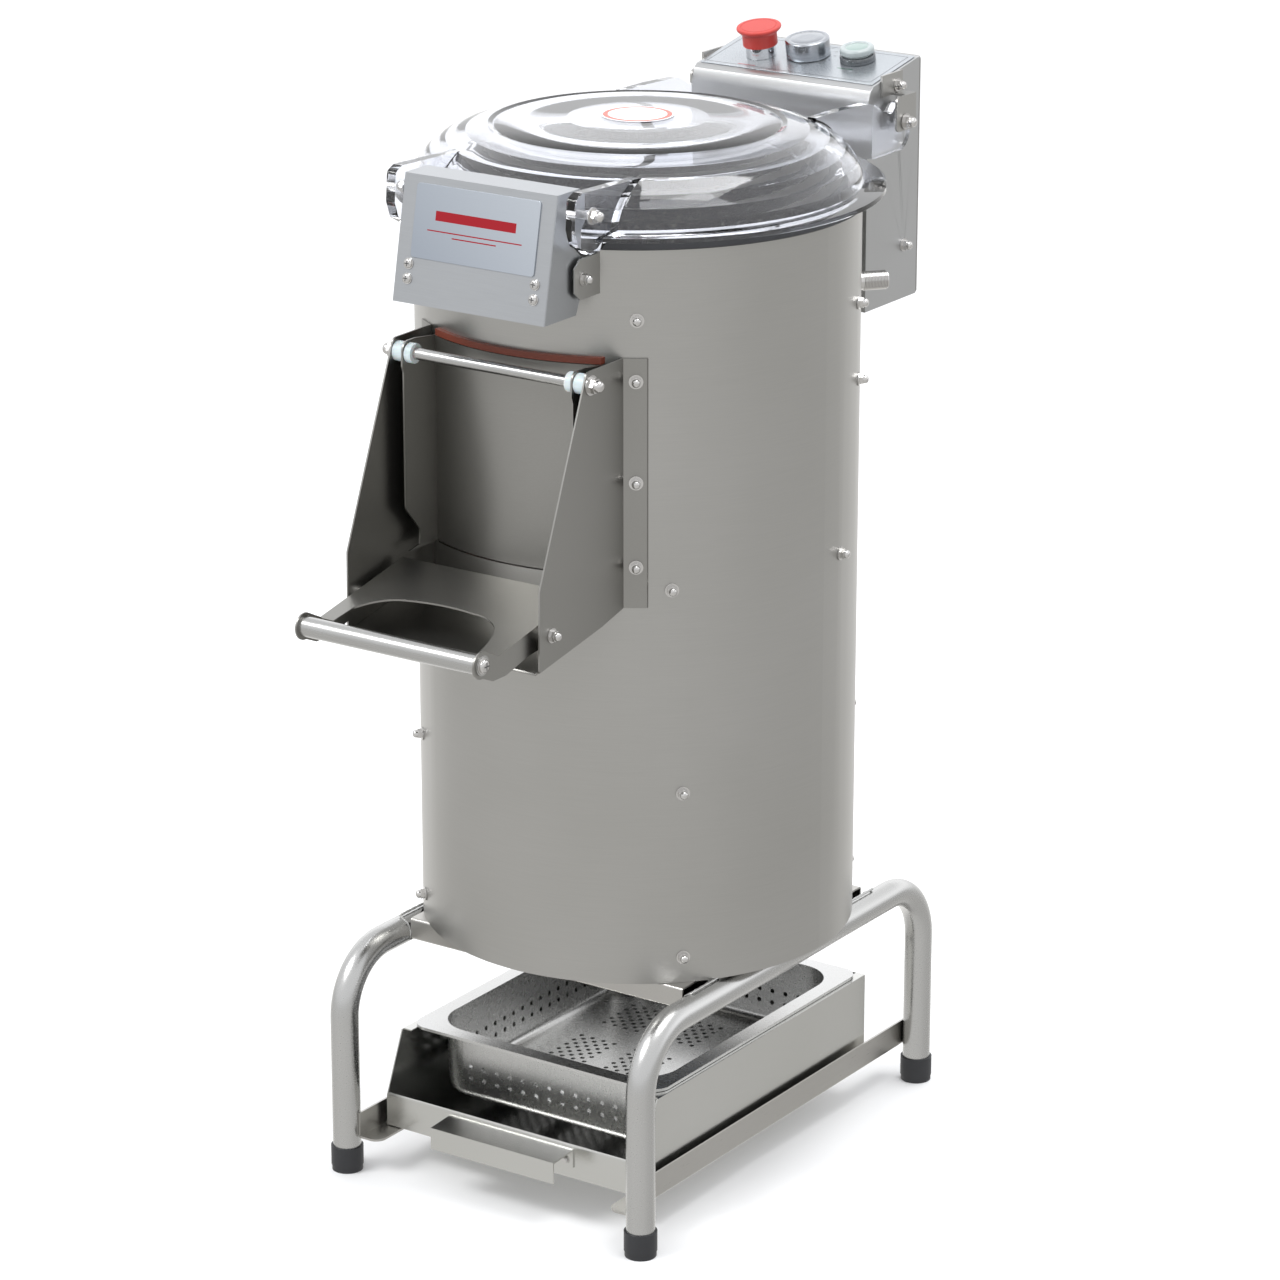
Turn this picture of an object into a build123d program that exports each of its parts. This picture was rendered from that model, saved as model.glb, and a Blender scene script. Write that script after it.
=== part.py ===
"""Floor-standing drum peeler with a clear lid, a discharge door and a filter drawer.

Millimetres. Z is up, the front is -Y, and the origin is on the floor under the drum axis.
"""
import os
from math import cos, radians, sin

from build123d import *

os.makedirs("parts", exist_ok=True)

# ---- drum -----------------------------------------------------------------
DRUM_R = 190.0
SHEET = 1.5
DRUM_BOTTOM = 212.6
DRUM_TOP = 853.0
FLOOR_TOP = 559.0
FLOOR_T = 3.0
BASE_RING_R = 150.0
DOOR_HOLE_HALF = 70.0
DOOR_HOLE_LOW = 588.0
DOOR_HOLE_HIGH = 742.0
SCREW_R = 3.0
# ---- stand ----------------------------------------------------------------
LEG_X = 156.0
LEG_Y = 225.0
TUBE_R = 12.5
TUBE_WALL = 1.5
TUBE_TOP_Z = 198.0
TUBE_BEND_R = 55.0
FOOT_R = 14.3
FOOT_H = 23.0
FOOT_BASE = 5.0
BAR_DEPTH = 40.0
BAR_HEIGHT = 20.0
BAR_Y = 124.0
RAIL_X = 143.3
RAIL_T = 2.0
RAIL_LOW = 32.0
RAIL_HIGH = 56.0
RAIL_IN = 121.0
# ---- drawer and pan --------------------------------------------------------
DRAWER_X = 136.0
DRAWER_T = 1.2
DRAWER_LOW = 34.3
DRAWER_TOP = 118.0
DRAWER_FRONT = -193.0
DRAWER_BACK = 166.0
DRAWER_LIP = 63.0
DRAWER_FLANGE = 8.0
PAN_L = 325.0
PAN_W = 265.0
PAN_RIM_Z = 121.0
PAN_DEPTH = 65.0
PAN_T = 1.2
# ---- discharge chute -------------------------------------------------------
CHEEK_X = 96.5
ROD_Y = -211.5
ROD_Z = 750.5
ROD_R = 5.0
PIVOT_Y = -268.0
PIVOT_Z = 553.5
DOOR_R = 193.3
DOOR_HALF = 86.0
DOOR_LOW = 579.0
DOOR_TOP = 757.0
SILL_LOW = 556.0
FLAP_X = 90.0
FLAP_SLOPE = 11.1
FLAP_FRONT = (-332.0, 551.5)
FLAP_REAR = (-217.6, 573.8)
BAR_CENTRE = (-353.0, 550.0)
HANDLE_R = 8.5
# ---- lid -------------------------------------------------------------------
HINGE_Y = 256.0
HINGE_Z = 884.0
FRONT_BOLT_Y = -203.0
FRONT_BOLT_Z = 888.0
FLANGE_R = 210.0
FLANGE_LOW = 862.5
DOME_T = 4.0
# ---- control box -----------------------------------------------------------
BOX_X = 92.0
BOX_FRONT = 220.0
BOX_BACK = 306.0
BOX_LOW = 717.0
PANEL_Y = 225.4
PANEL_Z = 917.0
PANEL_SLOPE = 10.4
# ---- drive -----------------------------------------------------------------
SHAFT_R = 12.5
BIG_PULLEY_R = 80.0
SMALL_PULLEY_R = 24.0
BELT_Z = 442.0
MOTOR_Y = 112.0
RUN_FIT = 0.05
GAP = 0.3


def save(part, name):
    """Label a piece and write its own file."""
    part.label = name
    export_step(part, f"parts/{name}.step")


def on_drum(radius, degrees, height):
    """Place on the drum wall, local Z pointing outwards."""
    x, y = radius * cos(radians(degrees)), radius * sin(radians(degrees))
    return Plane(origin=(x, y, height), x_dir=(0, 0, 1), z_dir=(x, y, 0)).location


def facing(x, y, z, sign=1):
    """Place at a point with local Z along +X or -X."""
    return Plane(origin=(x, y, z), x_dir=(0, 1, 0), z_dir=(sign, 0, 0)).location


def yz_plate(points, x_low, thickness, corner=0.0, corner_at=()):
    """Flat sheet facing X, cut to a YZ outline with some corners rounded."""
    with BuildPart() as sheet:
        with BuildSketch(Plane.YZ.offset(x_low)) as outline:
            with BuildLine():
                Polyline(*points, close=True)
            make_face()
            if corner_at:
                picked = [
                    v for v in outline.vertices()
                    if any(abs(v.Y - p[0]) + abs(v.Z - p[1]) < 0.5
                           or abs(v.X - p[0]) + abs(v.Y - p[1]) < 0.5 for p in corner_at)
                ]
                fillet(picked, corner)
        extrude(amount=thickness)
    return sheet.part


def shell_arc(inner, outer, low, high, half_x):
    """Front piece of a round shell, between two heights and two X limits."""
    with BuildPart() as arc:
        with BuildSketch(Plane.XY.offset(low)):
            Circle(outer)
            Circle(inner, mode=Mode.SUBTRACT)
            with Locations((0, -outer / 2)):
                Rectangle(2 * half_x, outer + 2, mode=Mode.INTERSECT)
        extrude(amount=high - low)
    return arc.part


def acorn_bolt(shank, length, hexagon, washer, dome):
    """Capped bolt: shank below the seat, washer, hexagon and dome above it."""
    washer_t = 1.2
    hex_t = hexagon * 0.75
    with BuildPart() as bolt:
        with BuildSketch(Plane.XY.offset(-length)):
            Circle(shank)
        extrude(amount=length)
        with BuildSketch():
            Circle(washer)
        extrude(amount=washer_t)
        with BuildSketch(Plane.XY.offset(washer_t)):
            RegularPolygon(hexagon, 6)
        extrude(amount=hex_t)
        with BuildSketch(Plane.XY.offset(washer_t + hex_t)):
            Circle(dome)
        extrude(amount=dome * 1.2)
        fillet(bolt.faces().sort_by(Axis.Z)[-1].edges(), dome * 0.8)
    return bolt.part


def pan_screw(shank, length, head, height):
    """Low round-headed screw with a washer under the head."""
    with BuildPart() as screw:
        with BuildSketch(Plane.XY.offset(-length)):
            Circle(shank)
        extrude(amount=length)
        with BuildSketch():
            Circle(head * 1.25)
        extrude(amount=0.8)
        with BuildSketch(Plane.XY.offset(0.8)):
            Circle(head)
        extrude(amount=height)
        fillet(screw.faces().sort_by(Axis.Z)[-1].edges(), height * 0.6)
    return screw.part


# ============================================================================
# stand
# ============================================================================
def side_frame(side):
    """One bent tube: two legs and the top run of one side."""
    leg_low = FOOT_BASE + 0.2
    with BuildPart() as frame:
        with BuildLine(Plane.YZ.offset(side * LEG_X)) as path:
            FilletPolyline((-LEG_Y, leg_low), (-LEG_Y, TUBE_TOP_Z), (LEG_Y, TUBE_TOP_Z),
                           (LEG_Y, leg_low), radius=TUBE_BEND_R)
        with BuildSketch(Plane(origin=(side * LEG_X, -LEG_Y, leg_low), z_dir=(0, 0, 1))):
            Circle(TUBE_R)
            Circle(TUBE_R - TUBE_WALL, mode=Mode.SUBTRACT)
        sweep(path=path.line)
    return frame.part


save(side_frame(-1), "left_side_frame")
save(side_frame(1), "right_side_frame")


def cross_member(y_centre):
    """Rectangular tube that carries the drum between the side frames."""
    length = 2 * (LEG_X - TUBE_R) + 0.2
    with BuildPart() as bar:
        with BuildSketch(Plane.YZ.offset(-length / 2)):
            with Locations((y_centre, DRUM_BOTTOM - 0.1 - BAR_HEIGHT / 2)):
                RectangleRounded(BAR_DEPTH, BAR_HEIGHT, 2.5)
                RectangleRounded(BAR_DEPTH - 3, BAR_HEIGHT - 3, 1.2, mode=Mode.SUBTRACT)
        extrude(amount=length)
        with Locations((LEG_X, y_centre, TUBE_TOP_Z), (-LEG_X, y_centre, TUBE_TOP_Z)):
            Cylinder(TUBE_R + 0.05, 60, rotation=(90, 0, 0), mode=Mode.SUBTRACT)
    return bar.part


with BuildPart() as cross_members:
    add(cross_member(-BAR_Y))
    add(cross_member(BAR_Y))
save(cross_members.part, "cross_members")


def drawer_rail(side):
    """Angle welded inside the legs, with a rounded toe that the drawer slides on."""
    outline = [
        (RAIL_X, RAIL_LOW), (RAIL_X, RAIL_HIGH), (RAIL_X - RAIL_T, RAIL_HIGH),
        (RAIL_X - RAIL_T, RAIL_LOW + RAIL_T), (RAIL_IN, RAIL_LOW + RAIL_T), (RAIL_IN, RAIL_LOW),
    ]
    with BuildPart() as rail:
        with BuildSketch(Plane.XZ.offset(-LEG_Y)):
            with BuildLine():
                Polyline(*[(side * x, z) for x, z in outline], close=True)
            make_face()
        extrude(amount=2 * LEG_Y)
        toes = rail.edges().filter_by(Axis.Z).filter_by_position(
            Axis.X, *sorted((side * (RAIL_IN - 0.1), side * (RAIL_IN + 0.1))))
        fillet(toes, 10)
        bend = rail.edges().filter_by(Axis.Y).sort_by(
            lambda e: abs(e.center().X - side * RAIL_X) + abs(e.center().Z - RAIL_LOW))[0]
        fillet(bend, 2.5)
    return rail.part


save(drawer_rail(-1), "left_drawer_rail")
save(drawer_rail(1), "right_drawer_rail")

with BuildPart() as rubber_feet:
    with BuildSketch():
        with GridLocations(2 * LEG_X, 2 * LEG_Y, 2, 2):
            Circle(FOOT_R - 0.6)
    extrude(amount=FOOT_BASE)
    with BuildSketch(Plane.XY.offset(FOOT_BASE)):
        with GridLocations(2 * LEG_X, 2 * LEG_Y, 2, 2):
            Circle(FOOT_R)
            Circle(TUBE_R + RUN_FIT, mode=Mode.SUBTRACT)
    extrude(amount=FOOT_H - FOOT_BASE)
save(rubber_feet.part, "rubber_feet")

# ============================================================================
# drum
# ============================================================================
DRUM_SCREWS = [
    (-55.9, 794.0), (-47.2, 563.5), (8.8, 562.0), (-44.3, 384.0), (-44.1, 236.0),
    (-134.8, 384.0), (-133.9, 236.0), (22.0, 770.5), (24.0, 702.0),
    (-124.1, 794.0), (132.0, 384.0), (132.0, 236.0), (48.0, 384.0), (48.0, 236.0),
]
CATCH_SCREW = (-196.0, 833.0)
BOX_SCREWS = [(283.0, 766.0)]
BRACKET_SCREW = (264.5, 913.4)
INLET_TURN = 50.0
INLET_Z = 765.0
INLET_R = 8.33
INLET_NECK = 7.6
INLET_BORE = 6.3
INLET_START = 181.5
INLET_THREAD = 203.0
INLET_END = 223.0
CHEEK_SCREW_ANGLE = 33.85
CHEEK_SCREWS = [(-90 + s * CHEEK_SCREW_ANGLE, z) for s in (-1, 1) for z in (743.0, 657.0, 584.5)]

with BuildPart() as drum_shell:
    with BuildSketch(Plane.XY.offset(DRUM_BOTTOM)):
        Circle(DRUM_R)
        Circle(DRUM_R - SHEET, mode=Mode.SUBTRACT)
    extrude(amount=DRUM_TOP - DRUM_BOTTOM)
    with BuildSketch(Plane.XY.offset(DRUM_BOTTOM)):
        Circle(DRUM_R - SHEET)
        Circle(BASE_RING_R, mode=Mode.SUBTRACT)
    extrude(amount=2 * SHEET)
    with BuildSketch(Plane.XZ.offset(DRUM_R / 2)):
        with Locations((0, (DOOR_HOLE_LOW + DOOR_HOLE_HIGH) / 2)):
            RectangleRounded(2 * DOOR_HOLE_HALF, DOOR_HOLE_HIGH - DOOR_HOLE_LOW, 12)
    extrude(amount=DRUM_R, mode=Mode.SUBTRACT)
    with Locations(*[on_drum(DRUM_R, a, z) for a, z in DRUM_SCREWS + CHEEK_SCREWS]):
        Cylinder(SCREW_R + 0.3, 12, mode=Mode.SUBTRACT)
    with Locations(on_drum(DRUM_R, INLET_TURN, INLET_Z)):
        Cylinder(INLET_R + 0.1, 12, mode=Mode.SUBTRACT)
    add(shell_arc(DRUM_R - 0.5, DOOR_R + SHEET, SILL_LOW, DOOR_LOW - SHEET, DOOR_HALF - 2))
save(drum_shell.part, "drum_shell")

DRAIN_X = -112.0
DRAIN_Y = -40.0
DRAIN_R = 24.0
DRAIN_LOW = 205.0
HANGERS = [(88.0, 50.0), (-88.0, 50.0), (62.0, 152.0), (-62.0, 152.0)]

with BuildPart() as chamber_floor:
    with BuildSketch(Plane.XY.offset(FLOOR_TOP - FLOOR_T)):
        Circle(DRUM_R - SHEET - 0.1)
        Circle(36, mode=Mode.SUBTRACT)
        with Locations((DRAIN_X, DRAIN_Y)):
            Circle(DRAIN_R - 2, mode=Mode.SUBTRACT)
        with Locations(*HANGERS):
            Circle(4.2, mode=Mode.SUBTRACT)
    extrude(amount=FLOOR_T)
    with BuildSketch(Plane.XY.offset(DRAIN_LOW)):
        with Locations((DRAIN_X, DRAIN_Y)):
            Circle(DRAIN_R)
            Circle(DRAIN_R - 2, mode=Mode.SUBTRACT)
    extrude(amount=FLOOR_TOP - FLOOR_T - DRAIN_LOW)
save(chamber_floor.part, "chamber_floor")

LINER_LOW = 600.0
LINER_HIGH = 836.0
LINER_OUT = DRUM_R - SHEET - 3.2
LINER_IN = DRUM_R - SHEET - 8.0
WINDOW_HALF = DOOR_HOLE_HALF + 12.0
WINDOW_HIGH = DOOR_HOLE_HIGH + 14.0

with BuildPart() as abrasive_liner:
    with BuildSketch(Plane.XY.offset(LINER_LOW)):
        Circle(LINER_OUT)
        Circle(LINER_IN, mode=Mode.SUBTRACT)
    extrude(amount=LINER_HIGH - LINER_LOW)
    with BuildSketch(Plane.XZ.offset(100)):
        with Locations((0, (LINER_LOW + WINDOW_HIGH) / 2 - 5)):
            Rectangle(2 * WINDOW_HALF, WINDOW_HIGH - LINER_LOW + 10)
    extrude(amount=DRUM_R, mode=Mode.SUBTRACT)
    with Locations(on_drum(DRUM_R, INLET_TURN, INLET_Z)):
        Cylinder(12, 40, mode=Mode.SUBTRACT)
save(abrasive_liner.part, "abrasive_liner")

with BuildPart() as drum_screws:
    small_bolt = acorn_bolt(SCREW_R, 3.4, 4.6, 6.0, 3.6)
    with Locations(*[on_drum(DRUM_R + 0.05, a, z) for a, z in DRUM_SCREWS]):
        add(small_bolt)
    long_bolt = acorn_bolt(SCREW_R, 5.0, 4.6, 6.0, 3.6)
    with Locations(*[on_drum(DRUM_R + 1.8, a, z) for a, z in CHEEK_SCREWS]):
        add(long_bolt)
    for side in (-1, 1):
        with Locations(facing(side * 80.5, *CATCH_SCREW, side)):
            add(small_bolt)
        for y, z in BOX_SCREWS:
            with Locations(facing(side * (BOX_X + 0.05), y, z, side)):
                add(small_bolt)
        with Locations(facing(side * (BOX_X + 2.15), *BRACKET_SCREW, side)):
            add(long_bolt)
save(drum_screws.part, "drum_screws")

with BuildPart() as water_inlet:
    with BuildSketch(Plane(on_drum(INLET_START, INLET_TURN, INLET_Z))):
        Circle(INLET_NECK)
    extrude(amount=INLET_THREAD - INLET_START)
    with BuildSketch(Plane(on_drum(INLET_THREAD, INLET_TURN, INLET_Z))):
        Circle(INLET_R)
    extrude(amount=INLET_END - INLET_THREAD)
    with BuildSketch(Plane(on_drum(DRUM_R + 0.1, INLET_TURN, INLET_Z))):
        Circle(11)
    extrude(amount=4)
    with BuildSketch(Plane(on_drum(INLET_START - 1, INLET_TURN, INLET_Z))):
        Circle(INLET_BORE)
    extrude(amount=60, mode=Mode.SUBTRACT)
save(water_inlet.part, "water_inlet")

with BuildPart() as box_bracket:
    with BuildSketch(Plane.XY.offset(735)):
        with Locations((0, (170 + BOX_FRONT) / 2 - 0.1)):
            Rectangle(100, BOX_FRONT - 170)
            Rectangle(96, BOX_FRONT - 170, mode=Mode.SUBTRACT)
        with Locations((0, BOX_FRONT - 1.1)):
            Rectangle(100, 2)
        Circle(DRUM_R + 0.1, mode=Mode.SUBTRACT)
    extrude(amount=110)
save(box_bracket.part, "box_bracket")

# ============================================================================
# drive
# ============================================================================
with BuildPart() as bearing_housing:
    with BuildSketch(Plane.XZ):
        with BuildLine():
            Polyline((26, 470), (34, 470), (34, 545.9), (62, 545.9), (62, 555.9), (35, 555.9),
                     (35, FLOOR_TOP), (22, FLOOR_TOP), (22, 541), (26, 541), close=True)
        make_face()
    revolve(axis=Axis.Z)
save(bearing_housing.part, "bearing_housing")

with BuildPart() as bearings:
    for low in (474.0, 525.0):
        with BuildSketch(Plane.XY.offset(low)):
            Circle(25.95)
            Circle(SHAFT_R + RUN_FIT, mode=Mode.SUBTRACT)
        extrude(amount=15)
        for shield in (low, low + 14):
            with BuildSketch(Plane.XY.offset(shield)):
                Circle(22)
                Circle(16.5, mode=Mode.SUBTRACT)
            extrude(amount=1, mode=Mode.SUBTRACT)
save(bearings.part, "bearings")

with BuildPart() as shaft_seal:
    with BuildSketch(Plane.XY.offset(548)):
        Circle(21.95)
        Circle(SHAFT_R + RUN_FIT, mode=Mode.SUBTRACT)
    extrude(amount=8)
save(shaft_seal.part, "shaft_seal")

with BuildPart() as drive_shaft:
    with BuildSketch(Plane.XZ):
        with BuildLine():
            Polyline((0, 428), (SHAFT_R, 428), (SHAFT_R, 584), (8, 584), (8, 604),
                     (0, 604), close=True)
        make_face()
    revolve(axis=Axis.Z)
    chamfer(drive_shaft.faces().sort_by(Axis.Z)[-1].edges(), 1)
save(drive_shaft.part, "drive_shaft")

with BuildPart() as turntable:
    with BuildSketch(Plane.XZ):
        with BuildLine():
            Polyline((SHAFT_R, 566), (30, 566), (30, 572), (176, 570), (176, 580), (30, 584),
                     (8, 584.1), (8, 584), (SHAFT_R, 584), close=True)
        make_face()
    revolve(axis=Axis.Z)
save(turntable.part, "turntable")

with BuildPart() as abrasive_disc:
    with BuildSketch(Plane.XZ):
        with BuildLine():
            Polyline((18, 584.4), (30, 584.1), (175, 580.1), (175, 583), (30, 587), (18, 587.4),
                     close=True)
        make_face()
    revolve(axis=Axis.Z)
    for turn in (0, 120, 240):
        with Locations(on_drum(100, turn, 574)):
            Cylinder(19, 120)
    with BuildSketch(Plane.XZ):
        with BuildLine():
            Polyline((0, 540), (176, 540), (176, 580.1), (30, 584.1), (0, 585), close=True)
        make_face()
    revolve(axis=Axis.Z, mode=Mode.SUBTRACT)
save(abrasive_disc.part, "abrasive_disc")

with BuildPart() as turntable_nut:
    with BuildSketch(Plane.XY.offset(584.2)):
        Circle(17)
        Circle(8.02, mode=Mode.SUBTRACT)
    extrude(amount=3)
    with BuildSketch(Plane.XY.offset(587.2)):
        RegularPolygon(14, 6)
        Circle(8.02, mode=Mode.SUBTRACT)
    extrude(amount=18)
    with Locations((0, 0, 605.2)):
        Cylinder(11, 6, align=(Align.CENTER, Align.CENTER, Align.MIN))
    fillet(turntable_nut.faces().sort_by(Axis.Z)[-1].edges(), 5)
save(turntable_nut.part, "turntable_nut")


def grooved_pulley(radius, bore, x, y, hub):
    """Belt pulley with one straight-bottomed groove round its rim."""
    deep = radius - 6.5
    with BuildPart() as pulley:
        with BuildSketch(Plane.XZ):
            with BuildLine():
                Polyline((bore, BELT_Z - 10), (radius, BELT_Z - 10), (radius, BELT_Z - 5.5),
                         (deep, BELT_Z - 4.5), (deep, BELT_Z + 4.5), (radius, BELT_Z + 5.5),
                         (radius, BELT_Z + 10), (hub, BELT_Z + 10), (hub, BELT_Z + 13),
                         (bore, BELT_Z + 13), close=True)
            make_face()
        revolve(axis=Axis.Z)
    return pulley.part.moved(Location((x, y, 0)))


save(grooved_pulley(BIG_PULLEY_R, SHAFT_R + 0.02, 0, 0, 24), "driven_pulley")
save(grooved_pulley(SMALL_PULLEY_R, 8.02, 0, MOTOR_Y, 14), "motor_pulley")

with BuildPart() as drive_belt:
    with BuildSketch(Plane.XY.offset(BELT_Z - 4)):
        with Locations((0, 0)):
            Circle(BIG_PULLEY_R - 0.5)
        with Locations((0, MOTOR_Y)):
            Circle(SMALL_PULLEY_R - 0.5)
        make_hull()
        with BuildSketch(mode=Mode.PRIVATE) as inside:
            Circle(BIG_PULLEY_R - 6.5 + GAP)
            with Locations((0, MOTOR_Y)):
                Circle(SMALL_PULLEY_R - 6.5 + GAP)
            make_hull()
        add(inside.sketch, mode=Mode.SUBTRACT)
    extrude(amount=8)
save(drive_belt.part, "drive_belt")

with BuildPart() as motor_body:
    with BuildSketch(Plane.XY.offset(262)):
        with Locations((0, MOTOR_Y)):
            Circle(58)
    extrude(amount=163.8)
    fillet(motor_body.faces().sort_by(Axis.Z)[0].edges(), 8)
    with Locations((0, MOTOR_Y, 345)):
        with PolarLocations(59, 20, start_angle=9):
            Box(8, 2.5, 120)
    with Locations((0, MOTOR_Y - 60, 350)):
        Box(60, 30, 60)
    with Locations((0, MOTOR_Y, 400)):
        Cylinder(8 + RUN_FIT, 60, mode=Mode.SUBTRACT)
save(motor_body.part, "motor_body")

with BuildPart() as motor_shaft:
    with BuildSketch(Plane.XY.offset(372)):
        with Locations((0, MOTOR_Y)):
            Circle(8)
    extrude(amount=86)
    chamfer(motor_shaft.faces().sort_by(Axis.Z)[-1].edges(), 1)
save(motor_shaft.part, "motor_shaft")

with BuildPart() as motor_plate:
    with BuildSketch(Plane.XY.offset(426)):
        with BuildLine():
            Polyline((-98, 38), (98, 38), (74, 164), (-74, 164), close=True)
        make_face()
        with Locations((0, MOTOR_Y)):
            Circle(11, mode=Mode.SUBTRACT)
        with Locations(*HANGERS):
            Circle(4.2, mode=Mode.SUBTRACT)
    extrude(amount=5)
save(motor_plate.part, "motor_plate")

with BuildPart() as motor_hangers:
    with BuildSketch(Plane.XY.offset(418)):
        with Locations(*HANGERS):
            Circle(4)
    extrude(amount=FLOOR_TOP + 6 - 418)
    with BuildSketch(Plane.XY.offset(431.1)):
        with Locations(*HANGERS):
            RegularPolygon(7, 6)
    extrude(amount=FLOOR_TOP - FLOOR_T - 0.1 - 431.1)
    with BuildSketch(Plane.XY.offset(420)):
        with Locations(*HANGERS):
            RegularPolygon(7, 6)
    extrude(amount=5.9)
save(motor_hangers.part, "motor_hangers")

# ============================================================================
# lid
# ============================================================================
DOME = [
    (FLANGE_R, FLANGE_LOW), (FLANGE_R, 866.5), (191, 869), (189.5, 876), (184.5, 886.5),
    (176, 896), (163, 905), (145, 912), (126, 917), (122, 916), (60, 921.5), (0, 923.5),
]
FRONT_ARM = [
    (-150, 870), (-180, 864), (-190, 858), (-205, 856.5), (-222, 866), (-227, 880), (-225, 905),
    (-216, 909), (-110, 905), (-105, 890),
]
with BuildPart() as lid_dome:
    with BuildSketch(Plane.XZ):
        with BuildLine():
            Polyline(*DOME[:3])
            Spline(*DOME[2:9])
            Spline(*DOME[9:], tangents=((-1, 0.35), (-1, 0)))
            Line(DOME[8], DOME[9])
            Polyline(DOME[-1], (0, 919.5), (60, 917.5), (120, 912.5), (144, 907.5), (160, 901),
                     (172.5, 892.5), (180.8, 883.5), (185.5, 875), (187, 866.5), (183, FLANGE_LOW),
                     DOME[0])
        make_face()
    revolve(axis=Axis.Z)
    for x_low in (-94, 85):
        add(yz_plate(FRONT_ARM, x_low, 9, 6, [(-222, 866), (-225, 905)]))
    for x_low in (-103, 94.5):
        with BuildSketch(Plane.YZ.offset(x_low)):
            with BuildLine():
                Polyline((120, 890), (118, 911), (160, 910.5), (200, 908.3), (214, 905.5),
                         (224, 899), (238, 893), (HINGE_Y, 893),
                         (HINGE_Y, 875), (262, 858), (215, 857.5), (186, 862.5), (150, 866),
                         (120, 890))
            make_face()
            with Locations((HINGE_Y, HINGE_Z)):
                Circle(16)
            with Locations((HINGE_Y, 874)):
                Circle(16.5)
        extrude(amount=8.5)
    with BuildSketch(Plane.XZ):
        with BuildLine():
            Polyline((0, 840), (0, 919.5), (60, 917.5), (120, 912.5), (144, 907.5), (160, 901),
                     (172.5, 892.5), (180.8, 883.5), (185.5, 875), (187, 866.5), (183, 862.5),
                     (183, 840), close=True)
        make_face()
    revolve(axis=Axis.Z, mode=Mode.SUBTRACT)
    with Locations((0, FRONT_BOLT_Y, FRONT_BOLT_Z)):
        Cylinder(4, 230, rotation=(0, 90, 0), mode=Mode.SUBTRACT)
    with Locations((0, HINGE_Y, HINGE_Z)):
        Cylinder(4, 230, rotation=(0, 90, 0), mode=Mode.SUBTRACT)
save(lid_dome.part, "lid_dome")

with BuildPart() as lid_gasket:
    with BuildSketch(Plane.XY.offset(DRUM_TOP + 0.3)):
        Circle(196)
        Circle(184, mode=Mode.SUBTRACT)
    extrude(amount=FLANGE_LOW - DRUM_TOP - 0.35)
    chamfer(lid_gasket.edges(), 1)
save(lid_gasket.part, "lid_gasket")

with BuildPart() as lid_bolts:
    rear_bolt = acorn_bolt(4, 14.5, 5.6, 7.2, 4.4)
    front_bolt = acorn_bolt(4, 19.9, 5.6, 7.2, 4.4)
    for side in (-1, 1):
        with Locations(facing(side * 108.5, HINGE_Y, HINGE_Z, side)):
            add(rear_bolt)
        with Locations(facing(side * 94.05, FRONT_BOLT_Y, FRONT_BOLT_Z, side)):
            add(front_bolt)
save(lid_bolts.part, "lid_bolts")


def hinge_bracket(side):
    """Folded bracket: flange on the box side, short roof and a leg outside the lid arm."""
    with BuildPart() as bracket:
        with BuildSketch(Plane.YZ.offset(BOX_X + 0.1)):
            with BuildLine():
                Polyline((240, 906), (240, 925), (274, 925), (274, 906), close=True)
            make_face()
        extrude(amount=2)
        with BuildSketch(Plane.YZ.offset(BOX_X + 0.1)):
            with BuildLine():
                Polyline((259, 905), (259, 907), (274, 907), (274, 905), close=True)
            make_face()
        extrude(amount=16)
        with BuildSketch(Plane.YZ.offset(106.1)) as leg:
            with BuildLine():
                Polyline((242, 876), (242, 907), (274, 907), (274, 876), close=True)
            make_face()
            fillet(leg.vertices().group_by(Axis.Z)[0], 5)
        extrude(amount=2)
        with Locations((105, HINGE_Y, HINGE_Z)):
            Cylinder(4 + RUN_FIT, 30, rotation=(0, 90, 0), mode=Mode.SUBTRACT)
        with Locations((94, *BRACKET_SCREW)):
            Cylinder(3.2, 20, rotation=(0, 90, 0), mode=Mode.SUBTRACT)
    return bracket.part if side > 0 else mirror(bracket.part, about=Plane.YZ)


with BuildPart() as hinge_brackets:
    add(hinge_bracket(1))
    add(hinge_bracket(-1))
save(hinge_brackets.part, "hinge_brackets")

COVER_TILT = 11.06
COVER_TOP = (-224.6, 906.3)
COVER_BOTTOM = (-244.8, 802.9)
COVER_X = 76.0
COVER_SCREWS_Z = (834.5, 822.5)


def on_cover(x, height, lift=0.0):
    """Place on the sloping face of the latch cover, local Z outwards."""
    t = (COVER_TOP[1] - height) / (COVER_TOP[1] - COVER_BOTTOM[1])
    y = COVER_TOP[0] + t * (COVER_BOTTOM[0] - COVER_TOP[0])
    tilt = radians(COVER_TILT)
    normal = (0, -cos(tilt), sin(tilt))
    return Plane(origin=(x, y + lift * normal[1], height + lift * normal[2]), x_dir=(1, 0, 0),
                 z_dir=normal)


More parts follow.
